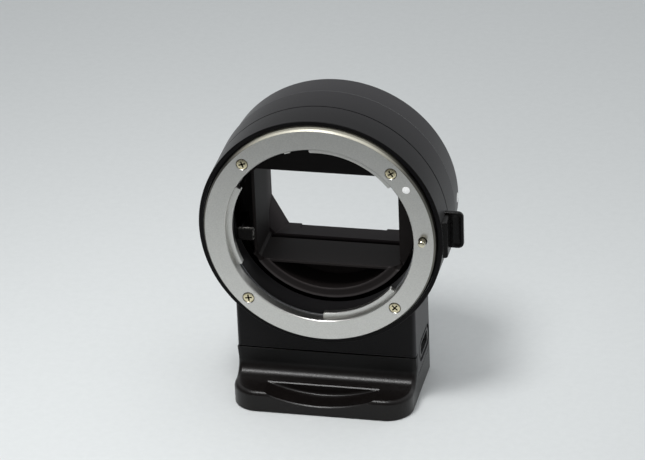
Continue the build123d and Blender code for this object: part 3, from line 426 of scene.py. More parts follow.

# %% [markdown]
# ## Satin black paint
# The foot is a casting with satin paint: deep, with a soft sheen in its hollow. The upstand is duller
# and painted darker, as painted shade. Both change with height alone, so one mask serves them.

# %% Foot finish: deep black with a soft sheen, dull on the upstand and darkened there by painted shade
DULL_SHADE_START, DULL_SHADE_FULL, DULL_ROUGH = 7 - AXIS_MM, 9 - AXIS_MM, 0.5
finish, tree, shader, coords = new_finish("satin_black_paint", Specular_IOR_Level=0.28)
grainy(tree, shader, coords, 0.3, "#0d0a09", "#13100f", (0.26, 0.37), 0.006)
gloss = shader.inputs["Roughness"].links[0].from_socket
upper, = masks(tree, measures(tree, coords), ("height", DULL_SHADE_START, DULL_SHADE_FULL, 1))
dull = add(tree, "Mix", {"data_type": "FLOAT"}, {"Factor": upper, 2: gloss, 3: DULL_ROUGH})
tree.links.new(dull.outputs[0], shader.inputs["Roughness"])
# the upstand painted darker: painted shade
overlay(tree, shader, ("#050404", upper))
finishes["foot_black"] = finish
print("nodes in", finish.name, len(tree.nodes))

# %% [markdown]
# ## Matt black plastic
# The baffle is moulded ABS with a faint tooth that swallows stray light. The edge of its cup is
# painted pale in arcs, a painted highlight, which a colour ramp over the radius gives. The hollows round
# the tunnel are painted near black as painted shade, the mask behind is painted a little paler as
# painted light, and its corners are paler still towards the rear.

# %% Baffle finish: flat black, with painted highlights in arcs, painted shade in the hollows and a paler rear
ARC_IN, ARC_OUT, ARC_START, ARC_LAST = 19.5, 22.2, 0.08, 0.6
ARCS = [(0.05, 0.5), (0.14, 0.35), (0.26, 0.12), (0.66, 0.2), (0.84, 0.9)]
finish, tree, shader, coords = new_finish("matt_black_abs", Specular_IOR_Level=0.14)
grainy(tree, shader, coords, 0.18, "#151212", "#221e1d", (0.55, 0.7), 0.01)
painted_rear_light, across, lower, front, beside, below, deep, above, corner, rear = masks(
    tree, measures(tree, coords), ("depth", 21.5, 23.5, 1), ("radius", ARC_IN, ARC_OUT, 1),
    ("height", -10.5, -12.5, 1), ("depth", 10.2, 10.0, 1), ("aside", 18.2, 18.4, 0.9),
    ("height", -12.8, -13.0, 0.2), ("depth", 10.8, 12.0, 1), ("height", 12.5, 12.7, 1),
    ("aside", 13.8, 15.5, 1), ("depth", 23.6, 28, 1))
# painted highlight on the front edge of the cup, in arcs along the radius
ramp = add(tree, "ValToRGB", {}, {"Fac": across})
for spot, level in ARCS:
    ramp.color_ramp.elements.new(spot).color = (level, level, level, 1.0)
for stop, level in [(0, ARC_START), (-1, ARC_LAST)]:
    ramp.color_ramp.elements[stop].color = (level, level, level, 1.0)
# painted shade: the hollows beside and below the tunnel, behind its front, and above its roof are painted near
# black
hidden = add(tree, "Math", {"operation": "MAXIMUM"}, {0: beside, 1: below}).outputs["Value"]
behind = add(tree, "Math", {"operation": "MULTIPLY"}, {0: hidden, 1: deep}).outputs["Value"]
painted_hollow_shade = add(tree, "Math", {"operation": "MAXIMUM"}, {0: behind, 1: above}).outputs["Value"]
# the mask behind is painted paler, as painted light
overlay(tree, shader, ("#2f2b2c", painted_rear_light), ("#545050", ramp.outputs["Color"], lower, front),
        # paler at the mask's corners towards the rear
        ("#080606", painted_hollow_shade), ("#4a4546", corner, rear))
finishes["baffle_plastic"] = finish
print("nodes in", finish.name, len(tree.nodes))

# %% [markdown]
# ## Satin chrome
# Both bayonet rings are turned from brass and plated. The lathe leaves faint rings, which noise along
# the radius alone gives as a bump. On the outer edge the plate is thin, dark and rougher, and along the
# top it is painted pale and made less metallic: a painted highlight where the light from above falls.

# %% Ring finish: pale satin grey with faint lathe rings, a dark edge and a painted highlight along its top
LATHE_MM, EDGE_R, EDGE_FULL, EDGE_ROUGH, TOP_EDGE_METAL = 0.16, 28.5, 28.56, 0.42, 0.4
finish, tree, shader, coords = new_finish("turned_satin_chrome")
normal = grainy(tree, shader, coords, 0.3, "#cdccc8", "#dbdad6", (0.28, 0.36), 0.004)
gloss = shader.inputs["Roughness"].links[0].from_socket
measure = measures(tree, coords)
edge, upper = masks(tree, measure, ("radius", EDGE_R, EDGE_FULL, 1), ("height", 18, 26, 1))
rings = add(tree, "TexNoise", {"noise_dimensions": "1D"},
            {"W": measure["radius"], "Scale": 1 / LATHE_MM, "Detail": 2.0})
lathe = add(tree, "Bump", {}, {"Height": rings.outputs["Fac"], "Strength": 0.25, "Distance": 0.01 * MM,
                               "Normal": normal})
tree.links.new(lathe.outputs["Normal"], shader.inputs["Normal"])
tooth = add(tree, "Mix", {"data_type": "FLOAT"}, {"Factor": edge, 2: gloss, 3: EDGE_ROUGH})
tree.links.new(tooth.outputs[0], shader.inputs["Roughness"])
# along the top of the edge: pale and less metallic, a painted highlight
top_edge_highlight = add(tree, "Math", {"operation": "MULTIPLY"}, {0: edge, 1: upper}).outputs["Value"]
matt = add(tree, "MapRange", {}, {"Value": top_edge_highlight, "To Min": 1.0, "To Max": TOP_EDGE_METAL})
tree.links.new(matt.outputs["Result"], shader.inputs["Metallic"])
overlay(tree, shader, ("#6f6d66", edge), ("#c6c3b4", top_edge_highlight))
finishes["satin_chrome"] = finish
print("nodes in", finish.name, len(tree.nodes))

# %% [markdown]
# ## Blackened steel and gilt screws
# The aperture ring is blackened steel, with painted highlights in patches on the paddle's upper and
# inner edges. The screw heads are gilt; their cross and rim are painted dark as painted shade, and as
# both lie deeper than the face of the head, a mask along the depth finds them.

# %% Aperture ring finish: nearly black, with painted highlights in patches on the paddle's edges
PADDLE_BACK, PATCH_MM = 4.8, 0.5
finish, tree, shader, coords = new_finish("blackened_steel", Metallic=1.0)
grainy(tree, shader, coords, 0.35, "#141313", "#201f1e", (0.3, 0.4), 0.004)
measure = measures(tree, coords)
top, tip = masks(tree, measure, ("height", -1.5, -1.1, 1), ("across", -17.7, -17.2, 1))
# painted highlight on the paddle's top and tip edges, broken into patches
edge = add(tree, "Math", {"operation": "MAXIMUM"}, {0: top, 1: tip}).outputs["Value"]
paddle = add(tree, "Math", {"operation": "LESS_THAN"}, {0: measure["depth"], 1: PADDLE_BACK})
highlight_noise = add(tree, "TexNoise", {}, {"Vector": coords, "Scale": per_grain(PATCH_MM)}).outputs["Fac"]
spots = add(tree, "MapRange", {}, {"Value": highlight_noise, "From Min": 0.35, "From Max": 0.6}).outputs["Result"]
overlay(tree, shader, ("#6e6c69", edge, spots, paddle.outputs["Value"]))
finishes["black_steel"] = finish
print("nodes in", finish.name, len(tree.nodes))

# %% Screw finish: a pale gold head, its cross and rim darkened by painted shade
finish, tree, shader, coords = new_finish("gilt_steel_screw", Metallic=1.0)
grainy(tree, shader, coords, 0.35, "#d8cda6", "#efe6c8", (0.22, 0.32), 0.004)
# the cross and the rim lie deeper than the face: painted shade
recess_shade, = masks(tree, measures(tree, coords), ("depth", 0.09, 0.14, 1))
overlay(tree, shader, ("#2a1c10", recess_shade))
finishes["brass_screw"] = finish
print("nodes in", finish.name, len(tree.nodes))

# %% [markdown]
# ## Small parts
# Springs, pins, contacts and paint need only a slight mottling and a fine tooth, so a table of their
# tones and roughness makes them all. Metals and coats differ in how metallic and how coarse they are.

# %% Plain finishes, and the measured model dressed in its slots
METALS = [  # slot, material and finish, its two tones, its roughness
    ("spring_steel", "blued_spring_steel", "#6f7074", "#8d8e91", (0.3, 0.4)),  # a cool grey gleam
    ("pin_steel", "ground_steel", "#d6cfb6", "#ebe5cd", (0.16, 0.26)),  # bright and warm
    ("brass_gear", "cut_brass", "#a98746", "#c7a562", (0.25, 0.35)),  # dull yellow
    ("gold_contact", "gold_plate", "#c9a24a", "#e0bf6c", (0.15, 0.25)),  # deep shiny yellow
    ("bush_steel", "zinc_plated_steel", "#8f9194", "#a9abad", (0.3, 0.42)),  # flat blue-grey
    ("socket_steel", "dark_nickel_plate", "#5c5d5e", "#727373", (0.3, 0.4)),  # dim grey in the port
]
COATS = [
    ("white_paint", "white_enamel", "#fcfcfa", "#ffffff", (0.25, 0.35)),  # clean glossy white
    ("board_green", "green_solder_varnish", "#12402a", "#1a5437", (0.3, 0.4)),  # dark glassy green
]
for group, metallic, grain, tooth in [(METALS, 1.0, 0.35, 0.004), (COATS, 0.0, 0.4, 0.005)]:
    for slot, name, dark, light, rough in group:
        finishes[slot], tree, shader, coords = new_finish(name, Metallic=metallic)
        grainy(tree, shader, coords, grain, dark, light, rough, tooth)
# Smooth black moulded ABS of the release lever and the contact blocks: black with a low gleam.
finishes["black_plastic"], tree, shader, coords = new_finish("smooth_black_abs", Specular_IOR_Level=0.15)
grainy(tree, shader, coords, 0.4, "#080707", "#0f0e0e", (0.24, 0.34), 0.004)

slot_of = {row["node"]: row["material_slot"] for row in frame["record"]["subparts"]}
for name, node in frame["nodes"].items():
    node.data.materials.clear()
    node.data.materials.append(finishes[slot_of[name]])
print("finishes", len(finishes), "nodes with a slot", len(slot_of))

# %% [markdown]
# ## Barrel and block
# The housing is one casting: a turned barrel that runs down into a square block. The outside is
# a stack of circles, the block a rounded column; they are joined, and then the bores, the lever
# slot and the socket pocket are cut out of both at once, as a mill would.

# %% Barrel and block joined
RIM_R, REAR_R, BORE_R, CAVITY_R = 30.48, 29.75, 23.6, 28.2
RIM_D, WEB_D, SEAT_D, END_D = 1.5, 10.6, 26.3, 27.3
FLANGE_R, FLANGE_T, REAR_FLANGE_R = 28.93, 3.0, 28.9
RIM_GAP, RING_GAP = 0.5, 0.15
GROOVE_D, GROOVE_W, GROOVE_CUT = 10.1, 0.4, 0.35
STEP_D, STEP_CUT = 18.9, 0.3
BLOCK_X, BLOCK_FRONT, BLOCK_REAR, BLOCK_CORNER = 22.7, 3.3, 22.0, 1.2
BASE_T, BLOCK_EASE, LIP = 6.1, 0.15, 1.0

outside = rounded(
    [(RIM_R - LIP, RIM_D), (RIM_R, RIM_D), (RIM_R, GROOVE_D - GROOVE_W / 2),
     (RIM_R - GROOVE_CUT, GROOVE_D - GROOVE_W / 4), (RIM_R - GROOVE_CUT, GROOVE_D + GROOVE_W / 4),
     (RIM_R, GROOVE_D + GROOVE_W / 2), (RIM_R, STEP_D), (RIM_R - STEP_CUT, STEP_D + STEP_CUT),
     (REAR_R, END_D), (REAR_R - LIP, END_D)],
    [0.1, 0.25, 0.08, 0.04, 0.04, 0.08, 0.55, 0.1, 0.25, 0.1], steps=5, closed=False)
housing = skin("main_housing_cast", [plug(outside)])
block_middle = (0, (BLOCK_FRONT + BLOCK_REAR) / 2)
block = oblong(BLOCK_X, (BLOCK_REAR - BLOCK_FRONT) / 2, BLOCK_CORNER, block_middle, steps=10)
block_sides = [(BLOCK_EASE, BASE_T), (0, BASE_T + BLOCK_EASE), (0, AXIS_MM)]
carve(housing, [column(block, block_sides, in_plan)], "UNION")
print("housing faces", len(housing.data.polygons))

# %% Bores and seats cut
BORE_EDGE, LEAF_R, LEAF_BACK = 0.06, 25.25, 3.35
recess_r, rear_recess_r = FLANGE_R + RIM_GAP, REAR_FLANGE_R + RING_GAP
inside = rounded(
    [(recess_r, 0), (recess_r, FLANGE_T), (LEAF_R, FLANGE_T), (LEAF_R, LEAF_BACK), (BORE_R, LEAF_BACK),
     (BORE_R, WEB_D), (CAVITY_R, WEB_D), (CAVITY_R, SEAT_D), (rear_recess_r, SEAT_D),
     (rear_recess_r, END_D + 2)], BORE_EDGE, steps=2, closed=False)
carve(housing, [plug(inside)])
print("housing after turning", len(housing.data.polygons))

# %% Seam, hollow of the block and lever slot
PIN_X, PIN_Z, PIN_R, PIN_GAP = 25.86, 0.722, 0.9, 0.1
SLOT_IN, SLOT_OUT, SLOT_HALF, SLOT_FRONT, SLOT_REAR = 24.16, RIM_R + 1, 3.2, 4.3, 9.35
SEAM_Z, SEAM_BACK, UPSTAND_BACK = 12.5, 5.78, 5.7
HOLLOW_X, HOLLOW_FRONT, HOLLOW_REAR, HOLLOW_TOP = 20.2, 5.8, 19.5, 14.6
PORT_D, PORT_Z = 14.5, 10.8
PASSAGE_X, PASSAGE_HALF, PASSAGE_LOW, PASSAGE_TOP = 4, 2.25, 14, 19.5
slot_outline = oblong((SLOT_OUT - SLOT_IN) / 2, SLOT_HALF, 0.2, ((SLOT_OUT + SLOT_IN) / 2, PIN_Z), steps=3)
hollow_middle = (0, (HOLLOW_REAR + HOLLOW_FRONT) / 2)
hollow_outline = oblong(HOLLOW_X, (HOLLOW_REAR - HOLLOW_FRONT) / 2, 0.4, hollow_middle, steps=3)
notch_outline = oblong(BLOCK_X + 2, SEAM_BACK / 2, 0.05, (0, SEAM_BACK / 2), steps=2)
passage_outline = oblong(PASSAGE_X, PASSAGE_HALF, 0.4, (0, PORT_D), steps=3)
seam_ease = np.array([(BLOCK_FRONT - 0.2, SEAM_Z - 0.1), (BLOCK_FRONT + 0.35, SEAM_Z - 0.1),
                      (BLOCK_FRONT - 0.2, SEAM_Z + 0.45)])
carve(housing, [
    column(notch_outline, straight(BASE_T - 1, SEAM_Z), in_plan),
    column(seam_ease, straight(-BLOCK_X - 1, BLOCK_X + 1), on_side),
    column(hollow_outline, straight(BASE_T - 1, HOLLOW_TOP), in_plan),
    column(passage_outline, straight(PASSAGE_LOW, PASSAGE_TOP), in_plan),
    column(slot_outline, straight(SLOT_FRONT, SLOT_REAR), in_face),
    drill(PIN_R + PIN_GAP, FLANGE_T - 0.3, SLOT_FRONT + 0.2, (PIN_X, PIN_Z)),
])
print("housing after milling", len(housing.data.polygons))

# %% [markdown]
# ## Port
# On the right of the block an oval groove runs round a low island, and the window of the data socket
# goes through it. The pocket is cut whole, the island is joined back into it, and the window is cut
# last, so that its edges stay clean.

# %% Port pocket, bezel and window
PORT_LONG, PORT_HIGH, PORT_DEEP, PORT_EASE = 13.0, 6.2, 0.45, 0.1
BEZEL_GAP, BEZEL_LOW, BEZEL_EASE = 0.9, 0.1, 0.05
WINDOW_LONG, WINDOW_HIGH, WINDOW_CORNER = 7.9, 3.1, 0.7
port = (PORT_D, PORT_Z)
pocket_outline = oblong(PORT_LONG / 2, PORT_HIGH / 2, PORT_HIGH / 2 - 0.01, port, steps=16)
pocket_floor, bezel_top = BLOCK_X - PORT_DEEP, BLOCK_X - BEZEL_LOW
mouth = [(PORT_EASE, pocket_floor), (0, pocket_floor + PORT_EASE), (0, BLOCK_X - PORT_EASE),
         (-0.04, BLOCK_X - 0.03), (-0.2, BLOCK_X + 0.2)]
carve(housing, [column(pocket_outline, mouth, on_side)])
bezel_half = PORT_HIGH / 2 - BEZEL_GAP
bezel_outline = oblong(PORT_LONG / 2 - BEZEL_GAP, bezel_half, bezel_half - 0.01, port, steps=16)
bezel_sides = [(0, pocket_floor - 0.2), (0, bezel_top - BEZEL_EASE), (BEZEL_EASE, bezel_top)]
carve(housing, [column(bezel_outline, bezel_sides, on_side)], "UNION")
window_outline = oblong(WINDOW_LONG / 2, WINDOW_HIGH / 2, WINDOW_CORNER, port)
carve(housing, [column(window_outline, straight(BLOCK_X - 3, BLOCK_X + 1), on_side)])
print("housing after cutting", len(housing.data.polygons))

# %% [markdown]
# ## Posts and bosses
# Inside, four posts take the screws of the foot and four bosses those of the rear ring. They are
# joined to the walls first and drilled afterwards, as a casting is.

# %% Posts, bosses and screw holes
SCREW_CIRCLE, SCREW_TURNS = 26.05, (45, 135, 225, 315)
SHANK_R, HEAD_R = 0.85, 1.42
REAR_DOT_R, REAR_DOT_D, REAR_DOT_DEEP = 1.25, END_D - 1.9, 0.5
dot_seat = oblong(REAR_DOT_R + 0.02, REAR_DOT_R + 0.02, REAR_DOT_R, (REAR_DOT_D, AXIS_MM), steps=12)
carve(housing, [column(dot_seat, straight(REAR_R - REAR_DOT_DEEP, REAR_R + 1), on_side)])
POST_X, POST_DEPTHS, POST_R, POST_LOW, POST_TOP = 9.0, (8.7, 16.6), 2.6, 9.4, 15.1
TAPPED_R, TAPPED_LOW, TAPPED_TOP = 1.0, 9.0, 13.3
posts = [(x, d) for x in (-POST_X, POST_X) for d in POST_DEPTHS]
carve(housing, [upright([(POST_R, POST_LOW), (POST_R, POST_TOP)], x, d) for x, d in posts], "UNION")
carve(housing, [upright([(TAPPED_R, TAPPED_LOW), (TAPPED_R, TAPPED_TOP)], x, d, 32) for x, d in posts])


def at_turn(radius, degrees):
    """The point of a circle about the optical axis at an angle from three o'clock."""
    return radius * math.cos(math.radians(degrees)), radius * math.sin(math.radians(degrees))


def spun_outline(outline, degrees):
    """An outline turned about the optical axis."""
    c, s = math.cos(math.radians(degrees)), math.sin(math.radians(degrees))
    return outline @ np.array([[c, s], [-s, c]])


BOSS_IN, BOSS_OUT, BOSS_HALF, BOSS_FRONT = 23.9, CAVITY_R + 0.5, 3.4, 17.0
FRONT_HOLE, REAR_HOLE = (2.5, 5.9), (22.6, 27.0)
boss = oblong((BOSS_OUT - BOSS_IN) / 2, BOSS_HALF, 0.3, ((BOSS_OUT + BOSS_IN) / 2, 0), steps=3)
carve(housing, [column(spun_outline(boss, turn), straight(BOSS_FRONT, SEAT_D), in_face)
                for turn in SCREW_TURNS], "UNION")
carve(housing, [drill(SHANK_R, *hole, at_turn(SCREW_CIRCLE, turn), 24)
                for turn in SCREW_TURNS for hole in (FRONT_HOLE, REAR_HOLE)])
dress(housing, "housing", "anodised_black", "main_housing")

# %% [markdown]
# ## Front bayonet ring
# The pale ring is turned, then milled: three tabs reach into the throat below the face. A closed
# profile carried round the axis gives the ring, and three ring sectors are joined to it. The outer
# edge has a real bevel, because that is what catches the bright line in the studio light.

# %% Front ring with its tabs
THROAT_R, TAB_R, TAB_D, BEVEL = 23.5, 22.0, 1.5, 0.4
TAB_SPANS = [(38, 95), (151, 206), (270, 321)]
STOP_SPAN = (106, 110)
ring_profile = rounded(
    [(THROAT_R, 0.2), (THROAT_R + 0.2, 0), (FLANGE_R - BEVEL, 0), (FLANGE_R, 0.55),
     (FLANGE_R, FLANGE_T), (THROAT_R, FLANGE_T)],
    [0.05, 0.05, 0.08, 0.08, 0.1, 0.05], steps=3)
front_ring = skin("front_flange_turned", [turned_ring(ring_profile)], loop=True)
TAB_ROOT, TAB_BACK, STOP_R = THROAT_R + 0.4, FLANGE_T - 0.02, THROAT_R - 0.55
tab_edge, stop_edge = round_edges(TAB_D, TAB_BACK, 0.12), round_edges(TAB_D / 2, TAB_BACK, 0.05)
tabs = [column(sector(TAB_R, TAB_ROOT, first, last, 0.25), tab_edge, in_face) for first, last in TAB_SPANS]
stop = column(sector(STOP_R, TAB_ROOT, *STOP_SPAN, 0.1), stop_edge, in_face)
carve(front_ring, tabs + [stop], "UNION")
DOT_SPOT, DOT_R, DOT_DEEP = at_turn(26.25, 32.9), 1.0, 0.4
SINK_R, SHANK_HOLE = HEAD_R + 0.12, SHANK_R + 0.05
sink = [(SINK_R, -0.1), (SINK_R, 0.1), (SHANK_HOLE, 0.8), (SHANK_HOLE, FLANGE_T + 1)]
sinks = [plug(sink, at_turn(SCREW_CIRCLE, turn), 48) for turn in SCREW_TURNS]
pin_hole = plug([(PIN_R + 0.26, -0.1), (PIN_R + 0.22, 0.05), (PIN_R + 0.22, 1.6), (PIN_R + PIN_GAP, 1.8),
                 (PIN_R + PIN_GAP, FLANGE_T + 1)], (PIN_X, PIN_Z), 48)
carve(front_ring, sinks + [pin_hole, drill(DOT_R, -0.1, DOT_DEEP, DOT_SPOT)])
dress(front_ring, "housing", "satin_chrome", "front_flange")

# %% [markdown]
# ## Screws, index dot and lock pin
# Small round parts are stacks of circles. The cross in a screw head is a tapered column with a
# cross-shaped outline, cut out of the head; each screw was tightened to another angle.

# %% Cross-head screws
def cross_outline(half_long, half_wide):
    """Twelve corners of a plus sign."""
    a, b = half_long, half_wide
    corners = [(a, b), (b, b), (b, a), (-b, a), (-b, b), (-a, b), (-a, -b), (-b, -b), (-b, -a), (b, -a),
               (b, -b), (a, -b)]
    return rounded(corners, 0.03, steps=2)


def screw_group(name, spots, head_depth, into, head, shank, length, twist):
    """Countersunk screws at several spots: a slightly domed head, a cone, a shank, and a cross cut
    that narrows as it goes in. into is +1 when the shank runs to the rear and -1 to the front."""
    steps = [(head * 0.35, 0.0), (head * 0.75, 0.03), (head * 0.94, 0.09), (head, 0.17),
             (head * 0.97, 0.24), (shank, 0.78), (shank, length)]
    stacks = [plug([(r, head_depth + into * d) for r, d in steps], spot, 40) for spot in spots]
    group = skin(name, stacks)
    cross = cross_outline(head * 0.62, head * 0.13)
    cut = [(-0.03, -0.1), (0.0, 0.05), (0.06, 0.35), (0.12, 0.5)]
    stations = [(inset, head_depth + into * d) for inset, d in cut]
    carve(group, [column(spun_outline(cross, turn) + np.array(spot), stations, in_face)
                  for spot, turn in zip(spots, twist)])
    return group


front_spots = [at_turn(SCREW_CIRCLE, turn) for turn in SCREW_TURNS]
SCREW_LONG, HEAD_SUNK = 5.5, 0.02
front_screws = screw_group("front_flange_screw_set", front_spots, HEAD_SUNK, 1, HEAD_R, SHANK_R,
                           SCREW_LONG, (33, 20, 8, 48))
dress(front_screws, "housing", "brass_screw", "front_flange_screws")

# %% Index dot and lock pin
dome = [(0.2, -0.1), (0.5, -0.085), (0.8, -0.04), (0.95, 0.02), (0.99, 0.1), (0.99, DOT_DEEP)]
dot = skin("front_index_dot_enamel", [plug(dome, DOT_SPOT, 48)])
dress(dot, "housing", "white_paint", "front_index_dot")
PIN_REACH, PIN_END, PIN_ROUND = 2.2, 6.15, 0.5
tip_turn = np.linspace(0.1, math.pi / 2, 7)
tip_r, tip_d = PIN_R - PIN_ROUND * (1 - np.sin(tip_turn)), -PIN_REACH + PIN_ROUND * (1 - np.cos(tip_turn))
tip = np.stack([tip_r, tip_d], -1)
lock_pin = skin("lock_pin_ground", [plug(np.vstack([tip, [(PIN_R, PIN_END)]]), (PIN_X, PIN_Z), 48)])
dress(lock_pin, "release", "pin_steel", "lock_pin")

# %% [markdown]
# ## Release lever
# A moulded shoe slides along the barrel and a dished thumb tab stands up from it. Rounded columns
# make both; the barrel's own radius, plus a running gap, is then cut away from underneath so that
# the lever hugs the barrel wherever it slides.

# %% Lever, shoe and dish
SHOE_D, SHOE_LONG, SHOE_HALF, SHOE_OUT, SHOE_DROP = 2.0, 4.5, 4.85, 31.6, 0.55
THUMB_T, THUMB_HALF, THUMB_OUT, THUMB_CORNER = 1.3, 4.85, 34.7, 1.4
THUMB_D = SHOE_D + SHOE_LONG
LEVER_ROOT = RIM_R - 2.0
ARM_IN, ARM_OUT, ARM_HALF, ARM_FRONT, ARM_END, RUN_GAP = 24.46, RIM_R + 0.6, 2.9, 4.35, 6.15, 0.15
shoe_outline = oblong((SHOE_OUT - LEVER_ROOT) / 2, SHOE_HALF, 0.7,
                      ((SHOE_OUT + LEVER_ROOT) / 2, PIN_Z - SHOE_DROP))
thumb_outline = oblong((THUMB_OUT - LEVER_ROOT) / 2, THUMB_HALF, THUMB_CORNER,
                       ((THUMB_OUT + LEVER_ROOT) / 2, PIN_Z), steps=14)
arm = oblong((ARM_OUT - ARM_IN) / 2, ARM_HALF, 0.15, ((ARM_OUT + ARM_IN) / 2, PIN_Z), steps=3)
dish = oblong(1.0, THUMB_HALF - 0.55, 0.95, ((SHOE_OUT + THUMB_OUT) / 2, PIN_Z), steps=10)
dish_sides = [(-0.12, -0.2), (0.0, 0.02), (0.2, 0.1), (0.5, 0.17), (0.8, 0.2)]
shoe_edges = round_edges(SHOE_D, THUMB_D + 0.5, 0.2)
lever = skin("release_lever_moulded", [column(shoe_outline, shoe_edges, in_face)])
carve(lever, [column(thumb_outline, round_edges(THUMB_D, THUMB_D + THUMB_T, 0.3), in_face)], "UNION")
carve(lever, [drill(RIM_R + RUN_GAP, 0, 14, (0, 0), 288)])
carve(lever, [column(arm, round_edges(ARM_FRONT, ARM_END, 0.08, 2), in_face)], "UNION")
carve(lever, [
    column(dish, [(inset, THUMB_D + deep) for inset, deep in dish_sides], in_face),
    drill(PIN_R, 3, 7, (PIN_X, PIN_Z)),
])
dress(lever, "release", "black_plastic", "release_lever")

# %% [markdown]
# ## Return spring
# A small coil spring sits in the slot behind the lever's arm and pushes it forward. A circle of wire
# carried along a helix gives it. Its rear end stays and its front end goes with the arm, so it can't
# ride rigidly; here it rides with the housing and gets a mesh of its own.

# %% Return spring of the lever
COIL_R, WIRE_R, COILS, COIL_GAP, SPRING_KEEP = 0.95, 0.13, 3, 0.02, 0.24
turn = np.linspace(0, 2 * math.pi * COILS, 36 * COILS + 1)[:, None]
around = circle(10)
reach = COIL_R + WIRE_R * np.cos(around)
rise = (SLOT_REAR - ARM_END - 2 * WIRE_R - 2 * COIL_GAP) * turn / turn[-1]
depth = ARM_END + COIL_GAP + WIRE_R + rise + WIRE_R * np.sin(around)
wire = in_face(PIN_X + reach * np.cos(turn), PIN_Z + reach * np.sin(turn), depth)
spring = skin("release_spring_wound", [wire])
dress(spring, "housing", "spring_steel", "release_spring")
in_face(PIN_X, PIN_Z, SLOT_REAR).tolist()
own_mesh(spring)

# %% [markdown]
# ## Light baffle
# A moulded tunnel with a rectangular window keeps stray light away. Its cup is a turned disc with
# a crescent hollow under the floor of the tunnel; the tunnel is a chamfered column, cut through by
# a slightly smaller one.

# %% Baffle
TUNNEL_X, TUNNEL_Z, TUNNEL_CORNER, TUNNEL_WALL = 18.0, 12.4, 0.6, 0.8
TUNNEL_D, BAFFLE_D, BAFFLE_BACK, TUNNEL_END, FLOOR_END = 9.8, 12.6, 13.8, 23.45, 21.3
CUP_R, BOWL_R, BOWL_WALL, BOWL_END, BAFFLE_R = 22.2, 19.6, 0.8, 18.0, 27.9


def clipped(half_x, half_z, cut_x, cut_z, soft=0.12):
    """A rectangle with its four corners cut off, the eight new corners slightly rounded."""
    x, z = half_x, half_z
    corners = [(x, z - cut_z), (x - cut_x, z), (cut_x - x, z), (-x, z - cut_z),
               (-x, cut_z - z), (cut_x - x, -z), (x - cut_x, -z), (x, cut_z - z)]
    return rounded(corners, soft, steps=3)


cup = [(CUP_R - 0.15, TUNNEL_D), (CUP_R - 0.05, TUNNEL_D + 0.05), (CUP_R, TUNNEL_D + 0.15), (CUP_R, BAFFLE_D),
       (BAFFLE_R, BAFFLE_D), (BAFFLE_R, BAFFLE_BACK)]
baffle = skin("light_baffle_moulded", [plug(cup)])
wide = clipped(TUNNEL_X + TUNNEL_WALL, TUNNEL_Z + TUNNEL_WALL, TUNNEL_CORNER + 0.33, TUNNEL_CORNER + 0.33)
carve(baffle, [column(wide, [(0, BAFFLE_D + 0.1), (0, TUNNEL_END - 0.1), (0.1, TUNNEL_END)], in_face)], "UNION")
window = clipped(TUNNEL_X, TUNNEL_Z, TUNNEL_CORNER, TUNNEL_CORNER, 0.12)
flare = [(-0.3, TUNNEL_D - 0.06), (-0.24, TUNNEL_D), (0, TUNNEL_D + 0.24), (0, TUNNEL_END + 1)]


def crescent(radius, top):
    """The part of a disc below a level: an arc closed by its chord."""
    low = -math.degrees(math.asin(-top / radius))
    turn = np.radians(np.linspace(-180 - low, low, 90))
    return radius * np.stack([np.cos(turn), np.sin(turn)], -1)


BOWL_TOP = -TUNNEL_Z - TUNNEL_WALL
bowl_back = BOWL_END + BOWL_WALL
bowl_sides = [(0, BAFFLE_D + 0.1), (0, bowl_back - 0.2), (0.2, bowl_back)]
carve(baffle, [column(crescent(BOWL_R + BOWL_WALL, BOWL_TOP + 0.3), bowl_sides, in_face)], "UNION")
bowl_mouth = [(-0.15, TUNNEL_D - 0.05), (-0.05, TUNNEL_D + 0.05), (0, TUNNEL_D + 0.15), (0, BOWL_END)]
corner_cone = [(1.9, TUNNEL_D - 0.3), (0.3, TUNNEL_D + 1.3)]
cone_spots = [(side * (TUNNEL_X - 0.5), 0.5 - TUNNEL_Z) for side in (1, -1)]
carve(baffle, [
    column(window, flare, in_face),
    column(oblong(TUNNEL_X - TUNNEL_CORNER, 2 * TUNNEL_Z, 0.2), straight(FLOOR_END, TUNNEL_END + 1), in_face),
    column(crescent(BOWL_R, BOWL_TOP), bowl_mouth, in_face),
    *[plug(corner_cone, spot, 32) for spot in cone_spots],
    column(oblong(3.2, 11.2, 0.2, (-21.9, 0)), straight(TUNNEL_D - 1, BAFFLE_D), in_face),
])
notch = oblong((CAVITY_R - BOSS_IN) / 2 + 0.3, BOSS_HALF + 0.3, 0.2, ((CAVITY_R + BOSS_IN) / 2, 0), steps=3)
carve(baffle, [column(spun_outline(notch, turn), straight(BAFFLE_D - 0.5, BAFFLE_BACK + 1), in_face)
               for turn in SCREW_TURNS])
MOTOR_TURN, SHAFT_HOLE, BAFFLE_SCREW_HOLE = 115, 0.8, 0.65
holes = [(at_turn(25.5, MOTOR_TURN), SHAFT_HOLE)]
holes += [(at_turn(26.2, turn), BAFFLE_SCREW_HOLE) for turn in (20, 160, 270)]
carve(baffle, [drill(radius, BAFFLE_D - 1, BAFFLE_BACK + 1, spot, 32) for spot, radius in holes])
dress(baffle, "housing", "baffle_plastic", "light_baffle")

# %% [markdown]
# ## Rear mask
# A chamfered window closes the tunnel behind, and its corners grow towards the rear. Stations of one
# outline can't do that, so four outlines with larger and larger corners are stacked instead.

